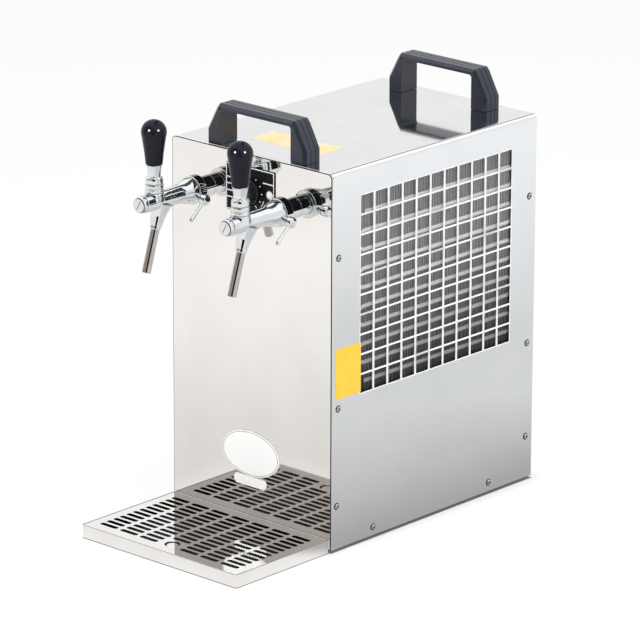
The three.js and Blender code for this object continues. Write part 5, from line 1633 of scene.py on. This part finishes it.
    def floor(self) -> None:
        """White sweep that keeps the object's shadow, with painted shadow in the gap under the casing and painted
        shadow grey near its foot in the polished sheets.
        """
        reach = self.floor_reach
        mesh = bpy.data.meshes.new("studio_floor")
        mesh.from_pydata(
            [(-reach, -reach, 0), (reach, -reach, 0), (reach, reach, 0), (-reach, reach, 0)], [], [(0, 1, 2, 3)]
        )
        made = bpy.data.materials.new("studio_paper")
        made.use_nodes = True
        tree = made.node_tree
        tree.nodes.clear()
        rays = add_node(tree, "ShaderNodeLightPath")
        room = self.clearance(tree, self.flat_place(tree), 0.0674, 0.1752)
        # Painted shadow: the paper is dark grey inside the casing's footprint, in the gap under it.
        paper = self.blend(tree, self.step(tree, room, 0.0, 0.002), srgb("#868686"), srgb("#F4F4F4"))
        lit = add_node(tree, "ShaderNodeBsdfDiffuse", inputs={"Color": paper})
        white = add_node(tree, "ShaderNodeEmission", inputs={"Color": (1, 1, 1, 1), "Strength": 1.04})
        shown = add_node(tree, "ShaderNodeEmission", inputs={"Color": self.floor_colour(tree), "Strength": 1.0})
        near = add_node(
            tree, "ShaderNodeMapRange", {"interpolation_type": "SMOOTHSTEP"},
            {
                "Value": room, "From Min": 0.0, "From Max": 0.024, "To Min": 0.05, "To Max": 0.8,
            },
        ).outputs["Result"]
        seen = add_node(tree, "ShaderNodeMath", {"operation": "MULTIPLY"}, {0: rays.outputs["Is Camera Ray"], 1: near})
        base = add_node(
            tree, "ShaderNodeMixShader", inputs={0: seen.outputs[0], 1: lit.outputs[0], 2: white.outputs[0]}
        )
        whole = add_node(
            tree,
            "ShaderNodeMixShader",
            inputs={0: self.mirrored_rays(tree, rays), 1: base.outputs[0], 2: shown.outputs[0]},
        )
        add_node(tree, "ShaderNodeOutputMaterial", inputs={"Surface": whole.outputs[0]})
        mesh.materials.append(made)
        plane = bpy.data.objects.new("studio_floor", mesh)
        bpy.context.scene.collection.objects.link(plane)

    def room_colour(self, tree: Tree) -> Socket:
        """Room as the metal shows it: white screens with a gap overhead, a dark front."""
        way = add_node(tree, "ShaderNodeTexCoord").outputs["Generated"]
        parts = add_node(tree, "ShaderNodeSeparateXYZ", inputs={0: way})
        slant = add_node(
            tree, "ShaderNodeMath", {"operation": "DIVIDE"}, {0: parts.outputs["X"], 1: parts.outputs["Z"]}
        )
        shift = add_node(
            tree, "ShaderNodeMath", {"operation": "MULTIPLY_ADD"}, {0: parts.outputs["Y"], 1: 1.4, 2: -0.487}
        )
        place = add_node(tree, "ShaderNodeMath", {"operation": "ADD"}, {0: slant.outputs[0], 1: shift.outputs[0]})
        apart = add_node(tree, "ShaderNodeMath", {"operation": "ABSOLUTE"}, {0: place.outputs[0]}).outputs[0]
        gap = self.times(
            tree, self.step(tree, apart, 0.26, 0.2), self.step(tree, parts.outputs["Z"], 0.3, 0.4),
            self.step(tree, parts.outputs["Y"], -0.2, 0.1),
        )
        screen = self.blend(
            tree, self.step(tree, parts.outputs["Z"], 0.42, 0.6), srgb("#F2F1F0"), (1.15, 1.16, 1.17, 1.0)
        )
        behind = self.blend(tree, gap, screen, srgb("#55585B"))
        low = self.blend(tree, self.step(tree, parts.outputs["Z"], -0.06, 0.1), srgb("#E2E0DE"), srgb("#B4B0AD"))
        left = self.blend(tree, self.step(tree, parts.outputs["X"], -0.3, -0.5), low, srgb("#A7A19D"))
        wall = self.blend(
            tree,
            self.times(
                tree, self.step(tree, parts.outputs["X"], 0.4, 0.25), self.step(tree, parts.outputs["Z"], 0.52, 0.42)
            ),
            srgb("#17171A"), left,
        )
        made = self.blend(tree, self.step(tree, parts.outputs["Y"], -0.46, -0.56), behind, wall)
        return made

    def surroundings(self) -> None:
        """White backdrop for the camera, an even light for the rest, and the room for mirrored rays."""
        world = bpy.data.worlds.new("studio")
        bpy.context.scene.world = world
        world.use_nodes = True
        tree = world.node_tree
        tree.nodes.clear()
        rays = add_node(tree, "ShaderNodeLightPath")
        lit = add_node(tree, "ShaderNodeBackground", inputs={"Color": srgb("#F3F5F8"), "Strength": 0.62})
        shown = add_node(tree, "ShaderNodeBackground", inputs={"Color": self.room_colour(tree), "Strength": 1.0})
        white = add_node(tree, "ShaderNodeBackground", inputs={"Color": (1, 1, 1, 1), "Strength": 1.0})
        first = add_node(
            tree,
            "ShaderNodeMixShader",
            inputs={0: self.mirrored_rays(tree, rays), 1: lit.outputs[0], 2: shown.outputs[0]},
        )
        whole = add_node(
            tree,
            "ShaderNodeMixShader",
            inputs={0: rays.outputs["Is Camera Ray"], 1: first.outputs[0], 2: white.outputs[0]},
        )
        add_node(tree, "ShaderNodeOutputWorld", inputs={"Surface": whole.outputs[0]})

    def build(self) -> None:
        """Sets up the whole studio."""
        self.camera()
        self.lamps()
        self.floor()
        self.surroundings()
        bpy.context.scene.view_settings.view_transform = "Standard"


def main() -> None:
    """Loads the frame, builds the cooler and its studio."""
    logging.basicConfig(level=logging.INFO, format="%(name)s: %(message)s")
    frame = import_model()
    Draft.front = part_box("front_panel")[0].y
    Casing().build()
    for node in ("front_grip", "rear_grip"):
        CarryGrip(node).build()
    Thermostat().build()
    for side in Side:
        BeerTap(side).build()
    DripTray().build()
    Condenser().build()
    RearFittings().build()
    InnerWorks().dress(frame["nodes"])
    Studio().build()


if __name__ == "__main__":
    main()
